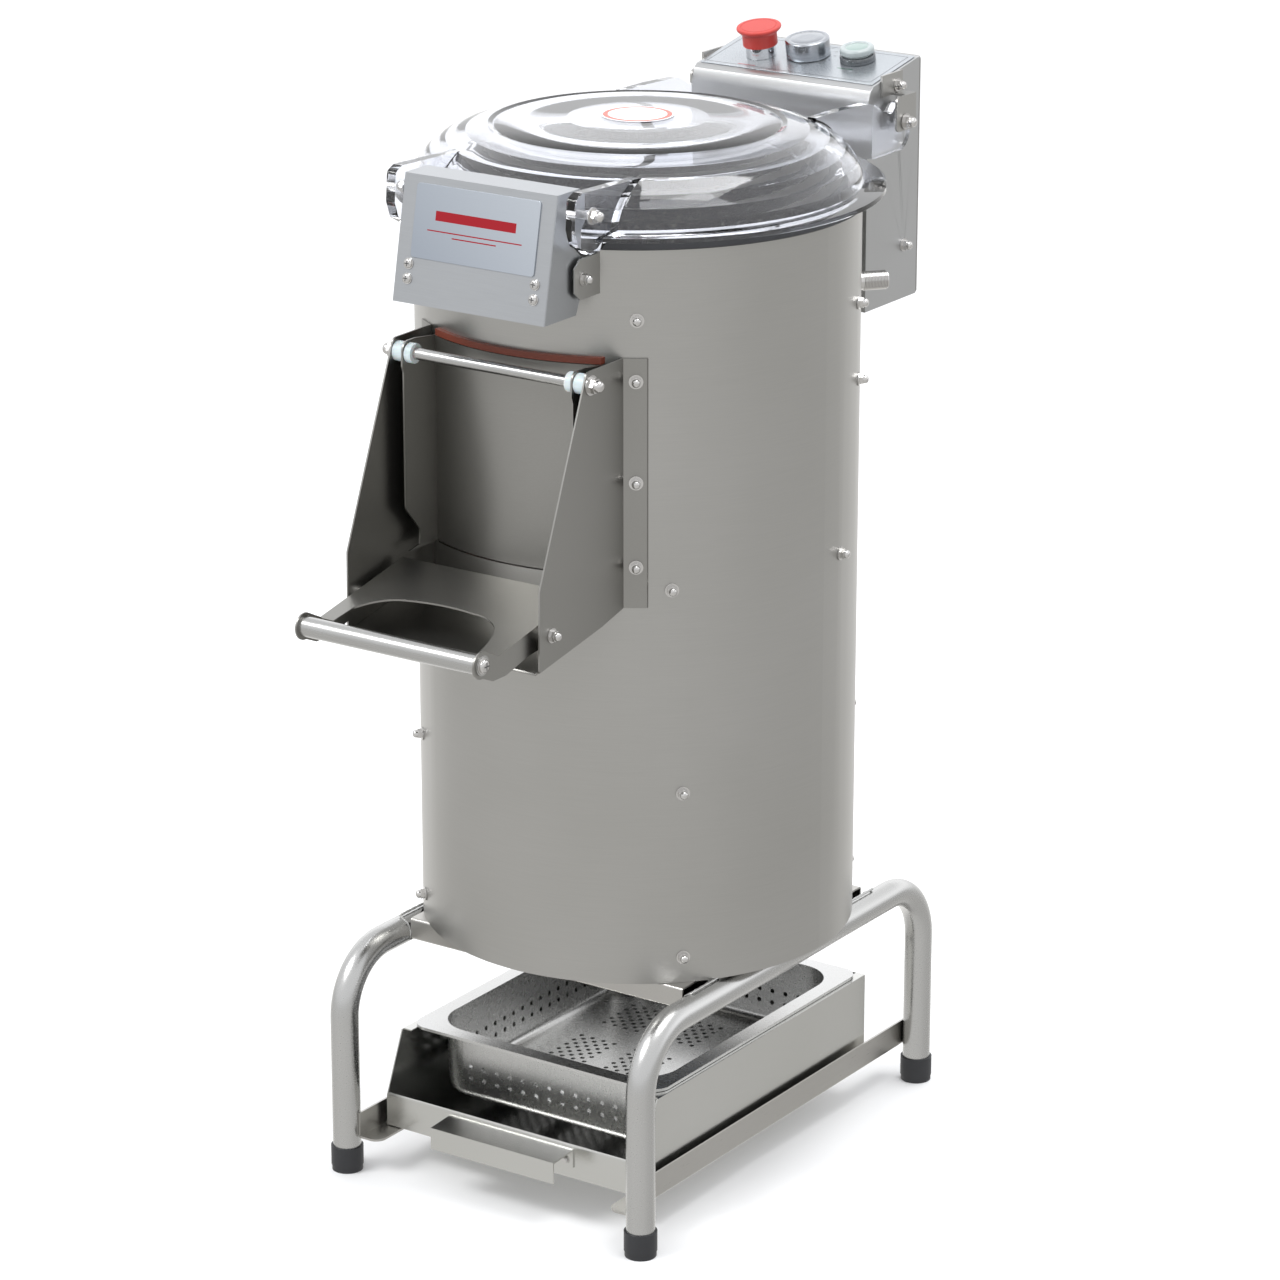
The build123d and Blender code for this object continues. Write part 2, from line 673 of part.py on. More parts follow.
with BuildPart() as latch_cover:
    add(yz_plate([COVER_TOP, COVER_BOTTOM, (-200, 802.9), (-190, 825), (-190, 848), (-199.5, 856),
                  (-199.5, 874), (-194, 880), (-194, 906.3)], -COVER_X, 2 * COVER_X))
    add(yz_plate([(-222.9, 904.7), (-242.9, 802), (-100, 802), (-100, 904.7)],
                 -COVER_X + SHEET, 2 * (COVER_X - SHEET)), mode=Mode.SUBTRACT)
    front_edges = latch_cover.edges().filter_by(
        lambda e: e.center().Y < -234 and abs(e.center().X) > 75 and e.length > 90)
    fillet(front_edges, 1.4)
    with Locations((0, FRONT_BOLT_Y, FRONT_BOLT_Z)):
        Cylinder(4 + RUN_FIT, 200, rotation=(0, 90, 0), mode=Mode.SUBTRACT)
    with Locations(*[on_cover(s * 63, z).location for s in (-1, 1) for z in COVER_SCREWS_Z]):
        Cylinder(2.02, 8, mode=Mode.SUBTRACT)
save(latch_cover.part, "latch_cover")

with BuildPart() as name_plate:
    with BuildSketch(on_cover(0, 870, 0.05)):
        RectangleRounded(123, 61, 2)
    extrude(amount=1.2)
save(name_plate.part, "name_plate")

with BuildPart() as latch_screws:
    cover_screw = pan_screw(2, 1.4, 3.8, 2)
    with Locations(*[on_cover(s * 63, z, 0.05).location for s in (-1, 1) for z in COVER_SCREWS_Z]):
        add(cover_screw)
save(latch_screws.part, "latch_screws")

with BuildPart() as catch_tabs:
    for side in (-1, 1):
        low = 78.9 if side > 0 else -80.4
        add(yz_plate([(-160, 850), (-200, 850), (-208, 843), (-208, 823), (-200, 816),
                      (-160, 816)], low, 1.5))
    with Locations((0, 0, 833)):
        Cylinder(DRUM_R + 0.05, 60, mode=Mode.SUBTRACT)
    with Locations((0, -196, 833)):
        Cylinder(SCREW_R + 0.3, 200, rotation=(0, 90, 0), mode=Mode.SUBTRACT)
save(catch_tabs.part, "catch_tabs")

# ============================================================================
# discharge door and lever
# ============================================================================
CHEEK = [
    (-163.2, 762.3), (-216.5, 762.3), (-221.5, 750), (-284.0, 594), (-285.0, 525.5),
    (-197.0, 541), (-163.4, 549.4),
]


def cheek(side):
    """Side wall of the chute with the flange that screws to the drum."""
    low = CHEEK_X if side > 0 else -CHEEK_X - SHEET
    with BuildPart() as wall:
        add(yz_plate(CHEEK, low, SHEET, 6, [(-216.5, 762.3)]))
        with BuildSketch(Plane.XY.offset(549)) as strip:
            Circle(DRUM_R + 1.7)
            Circle(DRUM_R + 0.1, mode=Mode.SUBTRACT)
            with Locations((side * 105.3, -158)):
                Rectangle(17.6, 60, mode=Mode.INTERSECT)
        extrude(amount=762.3 - 549)
        with Locations((0, ROD_Y, ROD_Z)):
            Cylinder(ROD_R + RUN_FIT, 240, rotation=(0, 90, 0), mode=Mode.SUBTRACT)
        with Locations((0, PIVOT_Y, PIVOT_Z)):
            Cylinder(4 + RUN_FIT, 240, rotation=(0, 90, 0), mode=Mode.SUBTRACT)
        with Locations(*[on_drum(DRUM_R, a, z) for a, z in CHEEK_SCREWS]):
            Cylinder(SCREW_R + 0.3, 12, mode=Mode.SUBTRACT)
        with Locations((0, 0, ROD_Z - 100)):
            Cylinder(DRUM_R + 0.1, 300, mode=Mode.SUBTRACT)
    return wall.part


save(cheek(-1), "left_cheek")
save(cheek(1), "right_cheek")

with BuildPart() as chute_floor:
    add(yz_plate([(-288, 524), (-289, 525), (-288, 526.5), (-284, 526.8), (-198, 542), (-150, 552),
                  (-150, 550.4), (-197.5, 540.4), (-283.5, 525.2)], -CHEEK_X + 0.1,
                 2 * CHEEK_X - 0.2))
    with Locations((0, 0, 540)):
        Cylinder(DRUM_R + 0.1, 60, mode=Mode.SUBTRACT)
save(chute_floor.part, "chute_floor")

with BuildPart() as hinge_rod:
    with Locations((0, ROD_Y, ROD_Z)):
        Cylinder(ROD_R, 212, rotation=(0, 90, 0))
save(hinge_rod.part, "hinge_rod")

with BuildPart() as rod_nuts:
    rod_nut = acorn_bolt(4, 0.01, 6.6, 8.4, 5.2)
    for side in (-1, 1):
        with Locations(facing(side * (CHEEK_X + SHEET + 0.1), ROD_Y, ROD_Z, side)):
            add(rod_nut)
    with Locations((0, ROD_Y, ROD_Z)):
        Cylinder(ROD_R + 0.02, 213, rotation=(0, 90, 0), mode=Mode.SUBTRACT)
save(rod_nuts.part, "rod_nuts")

with BuildPart() as rod_spacers:
    for side in (-1, 1):
        for low, high in ((77.5, 84.0), (86.3, 96.2)):
            with BuildSketch(Plane.YZ.offset(side * low if side > 0 else -high)):
                with Locations((ROD_Y, ROD_Z)):
                    Circle(8.5)
                    Circle(ROD_R + 0.02, mode=Mode.SUBTRACT)
            extrude(amount=high - low)
save(rod_spacers.part, "rod_spacers")

DOOR_EAR = [
    (-172, DOOR_LOW), (-172, DOOR_TOP), (-203, 761), (-220, 761), (-221, 740), (-219, 735),
    (-219, 617), (-199, 594), (-200.5, 582), (-215, DOOR_LOW),
]
with BuildPart() as discharge_door:
    add(shell_arc(DOOR_R, DOOR_R + SHEET, DOOR_LOW, DOOR_TOP, DOOR_HALF))
    for side in (-1, 1):
        low = DOOR_HALF - SHEET if side > 0 else -DOOR_HALF
        add(yz_plate(DOOR_EAR, low, SHEET, 8, [(-220, 761), (-199, 594), (-219, 617)]))
    with Locations((0, 0, 670)):
        Cylinder(DOOR_R, 240, mode=Mode.SUBTRACT)
    with Locations((0, ROD_Y, ROD_Z)):
        Cylinder(ROD_R + RUN_FIT, 240, rotation=(0, 90, 0), mode=Mode.SUBTRACT)
save(discharge_door.part, "discharge_door")

with BuildPart() as door_gasket:
    add(shell_arc(DRUM_R + 0.1, DOOR_R - GAP, DOOR_LOW, 745, 80))
    with BuildSketch(Plane.XZ):
        with Locations((0, (DOOR_HOLE_LOW + DOOR_HOLE_HIGH) / 2)):
            Rectangle(2 * DOOR_HOLE_HALF + 2, DOOR_HOLE_HIGH - DOOR_HOLE_LOW)
    extrude(amount=220, mode=Mode.SUBTRACT)
    add(shell_arc(DRUM_R + 0.1, DOOR_R + SHEET, DOOR_TOP + 0.6, DOOR_TOP + 6, 84))
save(door_gasket.part, "door_gasket")

FLAP_SIDE = [
    FLAP_FRONT, FLAP_REAR, (-217.6, 566), (-262, 543), (-290, 540), (-320, 532.5),
    (-338, 534), (-343, 540),
]
with BuildPart() as lever_flap:
    slope = radians(FLAP_SLOPE)
    under = (FLAP_FRONT[0] + SHEET * sin(slope), FLAP_FRONT[1] - SHEET * cos(slope))
    under_rear = (FLAP_REAR[0], FLAP_REAR[1] - SHEET / cos(slope))
    add(yz_plate([FLAP_FRONT, FLAP_REAR, under_rear, under], -FLAP_X, 2 * FLAP_X))
    for side in (-1, 1):
        low = FLAP_X - SHEET if side > 0 else -FLAP_X
        add(yz_plate(FLAP_SIDE, low, SHEET))
        with BuildSketch(Plane.YZ.offset(low)):
            with Locations(BAR_CENTRE):
                Circle(HANDLE_R + 3)
            with BuildLine():
                Polyline((-352, 538.6), (-338, 532.6), (-320, 532.5), (-330, 551.4),
                         (-349, 560.8), close=True)
            make_face()
        extrude(amount=SHEET)
    with BuildSketch(Plane.XY.offset(520)):
        with BuildLine():
            ThreePointArc((-74, -308), (-62, -290), (-38, -279))
            ThreePointArc((-38, -279), (-6, -275.5), (26, -277.5))
            ThreePointArc((26, -277.5), (52, -286), (66, -306))
            Polyline((66, -306), (70, -322), (72, -340), (-76, -340), (-74, -308))
        make_face()
    extrude(amount=60, mode=Mode.SUBTRACT)
    with Locations((0, *BAR_CENTRE)):
        Cylinder(HANDLE_R + 0.02, 240, rotation=(0, 90, 0), mode=Mode.SUBTRACT)
    with Locations((0, PIVOT_Y, PIVOT_Z)):
        Cylinder(4 + RUN_FIT, 240, rotation=(0, 90, 0), mode=Mode.SUBTRACT)
save(lever_flap.part, "lever_flap")

with BuildPart() as handle_bar:
    with BuildSketch(Plane.YZ.offset(-91)):
        with Locations(BAR_CENTRE):
            Circle(HANDLE_R)
            Circle(4, mode=Mode.SUBTRACT)
    extrude(amount=182)
save(handle_bar.part, "handle_bar")

with BuildPart() as handle_end_screws:
    end_screw = pan_screw(3.9, 14, 5.6, 3.2)
    for side in (-1, 1):
        with Locations(facing(side * 91.05, *BAR_CENTRE, side)):
            add(end_screw)
save(handle_end_screws.part, "handle_end_screws")

with BuildPart() as lever_pivot_bolts:
    lever_bolt = acorn_bolt(4, 11.0, 4.8, 6.2, 3.8)
    for side in (-1, 1):
        with Locations(facing(side * (CHEEK_X + SHEET + 0.1), PIVOT_Y, PIVOT_Z, side)):
            add(lever_bolt)
        with Locations(facing(side * 90.3, PIVOT_Y, PIVOT_Z, side)):
            Cylinder(7, 6, align=(Align.CENTER, Align.CENTER, Align.MIN))
save(lever_pivot_bolts.part, "lever_pivot_bolts")

# ============================================================================
# control box
# ============================================================================
BOX_SIDE = [
    (BOX_FRONT, BOX_LOW), (BOX_FRONT, 903), (224, 914), (228.5, 917.5), (BOX_BACK, 931.7),
    (BOX_BACK, BOX_LOW),
]
BOX_INSIDE = [
    (BOX_FRONT + SHEET, BOX_LOW + SHEET), (BOX_FRONT + SHEET, 902.8), (225.3, 913), (229, 916),
    (BOX_BACK + 1, 930.2), (BOX_BACK + 1, BOX_LOW + SHEET),
]


def on_panel(x, y, lift=0.0):
    """Place on the sloping top of the control box, local Z outwards."""
    tilt = radians(PANEL_SLOPE)
    z = PANEL_Z + (y - PANEL_Y) * sin(tilt) / cos(tilt)
    return Plane(origin=(x, y - lift * sin(tilt), z + lift * cos(tilt)), x_dir=(1, 0, 0),
                 z_dir=(0, -sin(tilt), cos(tilt)))


ESTOP_AT = (-44.6, 261.0)
KNOB_AT = (-3.4, 274.0)
START_AT = (46.0, 277.0)
with BuildPart() as control_box:
    add(yz_plate(BOX_SIDE, -BOX_X, 2 * BOX_X))
    add(yz_plate(BOX_INSIDE, -BOX_X + SHEET, 2 * (BOX_X - SHEET)), mode=Mode.SUBTRACT)
    with Locations(*[on_panel(*at).location for at in (ESTOP_AT, KNOB_AT, START_AT)]):
        Cylinder(11.4, 20, mode=Mode.SUBTRACT)
    with Locations(*[(0, y, z) for y, z in (*BOX_SCREWS, BRACKET_SCREW)]):
        Cylinder(SCREW_R + 0.1, 2 * BOX_X + 10, rotation=(0, 90, 0), mode=Mode.SUBTRACT)
save(control_box.part, "control_box")

with BuildPart() as box_back_cover:
    with BuildSketch(Plane.XZ.offset(-BOX_BACK - 0.1)) as back_face:
        with Locations((0, (BOX_LOW + 931.7) / 2)):
            RectangleRounded(2 * BOX_X, 931.7 - BOX_LOW, 3)
        with Locations((-50, 745)):
            Circle(12.5, mode=Mode.SUBTRACT)
    extrude(amount=-1.5)
save(box_back_cover.part, "box_back_cover")

with BuildPart() as control_foil:
    with BuildSketch(on_panel(0, 266.2, 0.25)):
        RectangleRounded(179, 73, 2)
        with Locations(*[((x), (y - 266.2) / cos(radians(PANEL_SLOPE)))
                         for x, y in (ESTOP_AT, KNOB_AT, START_AT)]):
            Circle(11.4, mode=Mode.SUBTRACT)
    extrude(amount=0.5)
save(control_foil.part, "control_foil")


def button_ring(at, outer, inner, height):
    """Round bezel that stands on the foil."""
    with BuildPart() as ring:
        with BuildSketch(on_panel(*at, 0.85)):
            Circle(outer)
            Circle(inner, mode=Mode.SUBTRACT)
        extrude(amount=height)
        chamfer(ring.faces().sort_by(Axis.Z)[-1].edges().sort_by(SortBy.LENGTH)[-1], 0.8)
    return ring.part


save(button_ring(ESTOP_AT, 13.5, 11.2, 13.6), "estop_collar")
save(button_ring(START_AT, 15.8, 13.2, 5.9), "start_collar")

with BuildPart() as estop_button:
    with BuildSketch(on_panel(*ESTOP_AT, -14)):
        Circle(10.8)
    extrude(amount=14 + 22.5)
    with BuildSketch(on_panel(*ESTOP_AT, 11.2)):
        Circle(15.5)
        Circle(14.0, mode=Mode.SUBTRACT)
    extrude(amount=11.3)
    with BuildSketch(on_panel(*ESTOP_AT, 22.3)):
        Circle(20)
    extrude(amount=6.2)
    fillet(estop_button.faces().sort_by(Axis.Z)[-1].edges(), 2.4)
save(estop_button.part, "estop_button")

with BuildPart() as timer_knob:
    with BuildSketch(on_panel(*KNOB_AT, -10)):
        Circle(6)
    extrude(amount=11.5)
    with BuildSketch(on_panel(*KNOB_AT, 1.3)):
        Circle(19.8)
    extrude(amount=16)
    fillet(timer_knob.faces().sort_by(Axis.Z)[-1].edges(), 1.2)
save(timer_knob.part, "timer_knob")

with BuildPart() as start_button:
    with BuildSketch(on_panel(*START_AT, -14)):
        Circle(9)
    extrude(amount=17)
    with BuildSketch(on_panel(*START_AT, 2.5)):
        Circle(12.9)
    extrude(amount=6.5)
    with BuildSketch(on_panel(*START_AT, 8.6)):
        Circle(15.3)
    extrude(amount=5.6)
    fillet(start_button.faces().sort_by(Axis.Z)[-1].edges(), 2.5)
save(start_button.part, "start_button")

with BuildPart() as switch_blocks:
    with Locations(on_panel(*ESTOP_AT, -38).location):
        Box(30, 34, 30)
    with Locations(on_panel(*KNOB_AT, -30).location):
        Box(38, 38, 30)
    with Locations(on_panel(*START_AT, -38).location):
        Box(30, 34, 30)
    with Locations((10, 280, 800)):
        Box(90, 36, 70)
save(switch_blocks.part, "switch_blocks")

GLAND_AT = (-50.0, 745.0)
GLAND_BORE = 5.0
GLAND_HEX_Y = BOX_BACK + 1.7
GLAND_NOSE_Y = GLAND_HEX_Y + 9.0
GLAND_NOSE_L = 42.0
GLAND_START_Y = 290.0


def gland_plane(y):
    """Plane across the gland, local Z towards the back."""
    return Plane(origin=(GLAND_AT[0], y, GLAND_AT[1]), x_dir=(1, 0, 0), z_dir=(0, 1, 0))


with BuildPart() as cable_gland:
    with BuildSketch(gland_plane(GLAND_START_Y)):
        Circle(12)
    extrude(amount=GLAND_HEX_Y - GLAND_START_Y)
    with BuildSketch(gland_plane(GLAND_HEX_Y)):
        RegularPolygon(17, 6)
    extrude(amount=GLAND_NOSE_Y - GLAND_HEX_Y)
    with BuildSketch(gland_plane(GLAND_NOSE_Y)):
        Circle(14)
    extrude(amount=GLAND_NOSE_L, taper=9)
    with BuildSketch(gland_plane(GLAND_START_Y - 1)):
        Circle(GLAND_BORE)
    extrude(amount=100, mode=Mode.SUBTRACT)
save(cable_gland.part, "cable_gland")

# ============================================================================
# drawer and pan
# ============================================================================
with BuildPart() as filter_drawer:
    add(yz_plate([(DRAWER_FRONT, DRAWER_LOW), (DRAWER_FRONT, DRAWER_LIP), (-170, DRAWER_TOP),
                  (DRAWER_BACK, DRAWER_TOP), (DRAWER_BACK, DRAWER_LOW)],
                 -DRAWER_X, 2 * DRAWER_X))
    inner = DRAWER_X - DRAWER_T
    add(yz_plate([(DRAWER_FRONT + DRAWER_T, DRAWER_LOW + DRAWER_T),
                  (DRAWER_FRONT + DRAWER_T, DRAWER_TOP + 9), (DRAWER_BACK - DRAWER_T, DRAWER_TOP + 9),
                  (DRAWER_BACK - DRAWER_T, DRAWER_LOW + DRAWER_T)], -inner, 2 * inner),
        mode=Mode.SUBTRACT)
    for side in (-1, 1):
        with Locations((side * (inner - DRAWER_FLANGE / 2), (DRAWER_BACK - 168) / 2,
                        DRAWER_TOP - DRAWER_T / 2)):
            Box(DRAWER_FLANGE + 0.4, DRAWER_BACK + 168 - 1, DRAWER_T)
    base = filter_drawer.edges().filter_by(
        lambda e: abs(e.center().Z - DRAWER_LOW) < 0.01 and e.length > 50)
    fillet(base, 1.1)
save(filter_drawer.part, "filter_drawer")

with BuildPart() as drawer_handle:
    wall = DRAWER_FRONT - 0.1
    add(yz_plate([(wall, 62.5), (wall, 45), (wall - 1.5, 45), (wall - 1.5, 61), (-222.5, 59.3),
                  (-222.5, 41), (-224, 41), (-224, 60.8)], -65, 130))
    with BuildSketch(Plane.XZ.offset(-wall)):
        with Locations((0, 52)):
            Rectangle(96, 18)
    extrude(amount=1.6, mode=Mode.SUBTRACT)
    with Locations((57, wall, 51), (-57, wall, 51)):
        Cylinder(1.95, 12, rotation=(90, 0, 0), mode=Mode.SUBTRACT)
save(drawer_handle.part, "drawer_handle")

with BuildPart() as drawer_handle_screws:
    tab_screw = pan_screw(1.9, 1.4, 3.2, 1.6)
    with Locations(*[Plane(origin=(s * 57, DRAWER_FRONT - 1.65, 51), x_dir=(1, 0, 0),
                           z_dir=(0, -1, 0)).location for s in (-1, 1)]):
        add(tab_screw)
save(drawer_handle_screws.part, "drawer_handle_screws")

PAN_HOLE_R = 2.2
with BuildPart() as pan_hollow:
    with BuildSketch(Plane.XY.offset(PAN_RIM_Z - PAN_DEPTH + PAN_T)):
        RectangleRounded(PAN_W - 34.4, PAN_L - 34.4, 31)
    extrude(amount=PAN_DEPTH, taper=-2.5)
    fillet(pan_hollow.faces().sort_by(Axis.Z)[0].edges(), 8)

with BuildPart() as perforated_pan:
    with BuildSketch(Plane.XY.offset(PAN_RIM_Z - 2.6)):
        RectangleRounded(PAN_W, PAN_L, 16)
    extrude(amount=2.6)
    with BuildSketch(Plane.XY.offset(PAN_RIM_Z - PAN_DEPTH)):
        RectangleRounded(PAN_W - 32, PAN_L - 32, 32)
    extrude(amount=PAN_DEPTH - 1, taper=-2.5)
    fillet(perforated_pan.faces().sort_by(Axis.Z)[0].edges(), 9)
    add(pan_hollow.part, mode=Mode.SUBTRACT)
    with BuildSketch(Plane.XY.offset(PAN_RIM_Z - PAN_DEPTH - 5)):
        for cx in (-60, 0, 60):
            for cy in (-84, 0, 84):
                with Locations((cx, cy)):
                    with GridLocations(12, 12, 4, 5):
                        Circle(PAN_HOLE_R)
                    with GridLocations(12, 12, 3, 4):
                        Circle(PAN_HOLE_R)
    extrude(amount=12, mode=Mode.SUBTRACT)
    for z in (77.0, 88.0):
        with Locations((0, 0, z)):
            with GridLocations(0, 14, 1, 17):
                Cylinder(PAN_HOLE_R, PAN_W, rotation=(0, 90, 0), mode=Mode.SUBTRACT)
            with GridLocations(14, 0, 12, 1):
                Cylinder(PAN_HOLE_R, PAN_L + 10, rotation=(90, 0, 0), mode=Mode.SUBTRACT)
save(perforated_pan.part, "perforated_pan")
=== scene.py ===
"""Looks of a floor-standing drum peeler: materials, detailed pieces, floor, light and camera."""

import math

import bmesh
import bpy
from mathutils import Matrix, Vector


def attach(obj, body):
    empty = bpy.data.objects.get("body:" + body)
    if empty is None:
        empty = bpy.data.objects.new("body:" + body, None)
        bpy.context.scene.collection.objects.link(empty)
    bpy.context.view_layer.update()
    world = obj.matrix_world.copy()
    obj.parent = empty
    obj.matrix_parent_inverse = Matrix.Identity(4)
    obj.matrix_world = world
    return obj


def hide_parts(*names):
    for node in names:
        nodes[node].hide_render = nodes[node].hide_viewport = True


MM = 0.001
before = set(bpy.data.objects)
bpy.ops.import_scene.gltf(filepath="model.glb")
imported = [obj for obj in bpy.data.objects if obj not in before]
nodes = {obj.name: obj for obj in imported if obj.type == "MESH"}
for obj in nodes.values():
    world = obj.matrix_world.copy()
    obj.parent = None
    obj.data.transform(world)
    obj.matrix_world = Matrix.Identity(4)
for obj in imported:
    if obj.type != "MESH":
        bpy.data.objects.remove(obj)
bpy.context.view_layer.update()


# ---------------------------------------------------------------------------
# node helper
# ---------------------------------------------------------------------------
class Look:
    """One procedural material and short ways to add nodes to it."""

    def __init__(self, name, **sockets):
        self.material = bpy.data.materials.new(name)
        self.material.use_nodes = True
        self.tree = self.material.node_tree
        self.shader = self.tree.nodes["Principled BSDF"]
        for socket, value in sockets.items():
            self.shader.inputs[socket.replace("_", " ")].default_value = value
        self.coord = self.tree.nodes.new("ShaderNodeTexCoord").outputs["Object"]

    def node(self, kind, **inputs):
        made = self.tree.nodes.new(kind)
        for key, value in inputs.items():
            self.feed(made.inputs[key.replace("_", " ")], value)
        return made

    def feed(self, socket, value):
        if isinstance(value, bpy.types.NodeSocket):
            self.tree.links.new(value, socket)
        else:
            socket.default_value = value

    def math(self, operation, *values):
        made = self.tree.nodes.new("ShaderNodeMath")
        made.operation = operation
        for socket, value in zip(made.inputs, values):
            self.feed(socket, value)
        return made.outputs[0]

    def stretched(self, x, y, z):
        """Object coordinates scaled to waves per metre along each axis."""
        return self.node("ShaderNodeMapping", Vector=self.coord, Scale=(x, y, z)).outputs[0]

    def noise(self, vector, detail=3.0, roughness=0.55):
        made = self.node("ShaderNodeTexNoise", Vector=vector, Scale=1.0, Detail=detail,
                         Roughness=roughness)
        return made.outputs[0]

    def ramp(self, factor, *stops):
        """Colour ramp; each stop is (place, colour or grey)."""
        made = self.node("ShaderNodeValToRGB", Fac=factor)
        points = made.color_ramp.elements
        while len(points) < len(stops):
            points.new(0.5)
        for point, (place, colour) in zip(points, stops):
            point.position = place
            point.color = colour if len(colour) == 4 else (*colour, 1)
        return made.outputs[0]

    def mix(self, factor, low, high):
        made = self.tree.nodes.new("ShaderNodeMix")
        made.data_type = "RGBA"
        self.feed(made.inputs[0], factor)
        for socket, value in ((made.inputs[6], low), (made.inputs[7], high)):
            if not isinstance(value, bpy.types.NodeSocket) and len(value) == 3:
                value = (*value, 1)
            self.feed(socket, value)
        return made.outputs[2]

    def bump(self, height, strength, distance):
        made = self.node("ShaderNodeBump", Height=height, Strength=strength, Distance=distance)
        self.tree.links.new(made.outputs[0], self.shader.inputs["Normal"])

    def set(self, socket, value):
        self.feed(self.shader.inputs[socket], value)


def shade(colour, factor):
    return tuple(c * factor for c in colour)


def grained_metal(name, colour, rough, grain, depth=0.00002, spread=0.07, contrast=0.08):
    """Metal with a fine grain: grain is the waves per metre along X, Y and Z."""
    look = Look(name, Metallic=1.0)
    fine = look.noise(look.stretched(*grain), 4.0, 0.65)
    broad = look.noise(look.stretched(5, 5, 5), 2.0, 0.5)
    tone = look.mix(fine, shade(colour, 1 - contrast), shade(colour, 1 + contrast))
    cloud = look.ramp(broad, (0.3, (0.93, 0.93, 0.92)), (0.7, (1.0, 1.0, 1.0)))
    mixed = look.tree.nodes.new("ShaderNodeMix")
    mixed.data_type = "RGBA"
    mixed.blend_type = "MULTIPLY"
    mixed.inputs[0].default_value = 1.0
    look.feed(mixed.inputs[6], tone)
    look.feed(mixed.inputs[7], cloud)
    look.set("Base Color", mixed.outputs[2])
    spread_out = look.node("ShaderNodeMapRange", Value=fine, To_Min=rough - spread,
                           To_Max=rough + spread)
    look.set("Roughness", spread_out.outputs[0])
    look.bump(fine, 0.35, depth)
    return look


def moulded(name, colour, rough, scale=900.0, depth=0.00003, variation=0.15, **sockets):
    """Moulded plastic or rubber with a fine skin texture and a little colour drift."""
    look = Look(name, **sockets)
    skin = look.noise(look.stretched(scale, scale, scale), 3.0, 0.6)
    drift = look.noise(look.stretched(30, 30, 30), 2.0, 0.5)
    look.set("Base Color", look.mix(drift, shade(colour, 1 - variation),
                                    shade(colour, 1 + variation)))
    spread_out = look.node("ShaderNodeMapRange", Value=skin, To_Min=rough - 0.06,
                           To_Max=rough + 0.06)
    look.set("Roughness", spread_out.outputs[0])
    look.bump(skin, 0.4, depth)
    return look


# ---------------------------------------------------------------------------
# materials
# ---------------------------------------------------------------------------
STEEL = (0.455, 0.45, 0.435)
BRIGHT = (0.62, 0.61, 0.60)
ROUND_GRAIN = (25, 25, 2600)
SHEET_GRAIN = (30, 1700, 1700)
LONG_GRAIN = (1500, 40, 1500)

looks = {
    "drum_steel": grained_metal("drum_steel", STEEL, 0.34, ROUND_GRAIN),
    "sheet_steel": grained_metal("sheet_steel", STEEL, 0.37, SHEET_GRAIN),
    # painted shade: cheeks, chute floor, door and lever flap use the sheet steel darkened to about
    # 0.72 of its colour
    "chute_steel_painted_shade": grained_metal("chute_steel_painted_shade", (0.33, 0.325, 0.31), 0.37, SHEET_GRAIN),
    "box_steel": grained_metal("box_steel", (0.52, 0.525, 0.53), 0.37, SHEET_GRAIN),
    # painted reflection: the latch cover's steel carries a bluish tint in its base colour for the
    # sky it faces
    "cover_steel_painted_sky": grained_metal("cover_steel_painted_sky", (0.44, 0.455, 0.475), 0.37, SHEET_GRAIN),
    "tube_steel": grained_metal("tube_steel", (0.55, 0.55, 0.545), 0.26, (700, 700, 700),
                                depth=0.000008, contrast=0.03),
    "rail_steel": grained_metal("rail_steel", (0.50, 0.49, 0.47), 0.30, LONG_GRAIN),
    "drawer_steel": grained_metal("drawer_steel", (0.62, 0.62, 0.60), 0.24, LONG_GRAIN,
                                  depth=0.00001, contrast=0.05),
    "pan_steel": grained_metal("pan_steel", (0.62, 0.62, 0.615), 0.27, (160, 160, 160),
                               depth=0.00001, spread=0.04, contrast=0.03),
    "bright_steel": grained_metal("bright_steel", BRIGHT, 0.17, (900, 900, 900),
                                  depth=0.000005, spread=0.05, contrast=0.04),
    "rod_steel": grained_metal("rod_steel", (0.50, 0.50, 0.495), 0.26, (60, 2200, 2200),
                               depth=0.000008, contrast=0.05),
    "chrome": grained_metal("chrome", (0.75, 0.75, 0.76), 0.10, (400, 400, 400),
                            depth=0.000002, spread=0.03, contrast=0.02),
    "shaft_steel": grained_metal("shaft_steel", (0.58, 0.57, 0.56), 0.24, (60, 60, 2400)),
    "cast_aluminium": grained_metal("cast_aluminium", (0.58, 0.58, 0.59), 0.48,
                                    (450, 450, 450), depth=0.0001, contrast=0.08),
    "motor_paint": moulded("motor_paint", (0.05, 0.09, 0.16), 0.42, depth=0.00004),
    "black_rubber": moulded("black_rubber", (0.020, 0.021, 0.024), 0.50, depth=0.00004),
    "belt_rubber": moulded("belt_rubber", (0.018, 0.018, 0.019), 0.62, depth=0.00006),
    "brown_rubber": moulded("brown_rubber", (0.16, 0.035, 0.018), 0.48, depth=0.00004),
    "red_plastic": moulded("red_plastic", (0.46, 0.040, 0.032), 0.45, scale=1500.0,
                           depth=0.000012, variation=0.05, Subsurface_Weight=0.04),
    "dark_plastic": moulded("dark_plastic", (0.035, 0.036, 0.038), 0.40),
    "white_nylon": moulded("white_nylon", (0.56, 0.60, 0.61), 0.38, variation=0.04,
                           Subsurface_Weight=0.15),
}


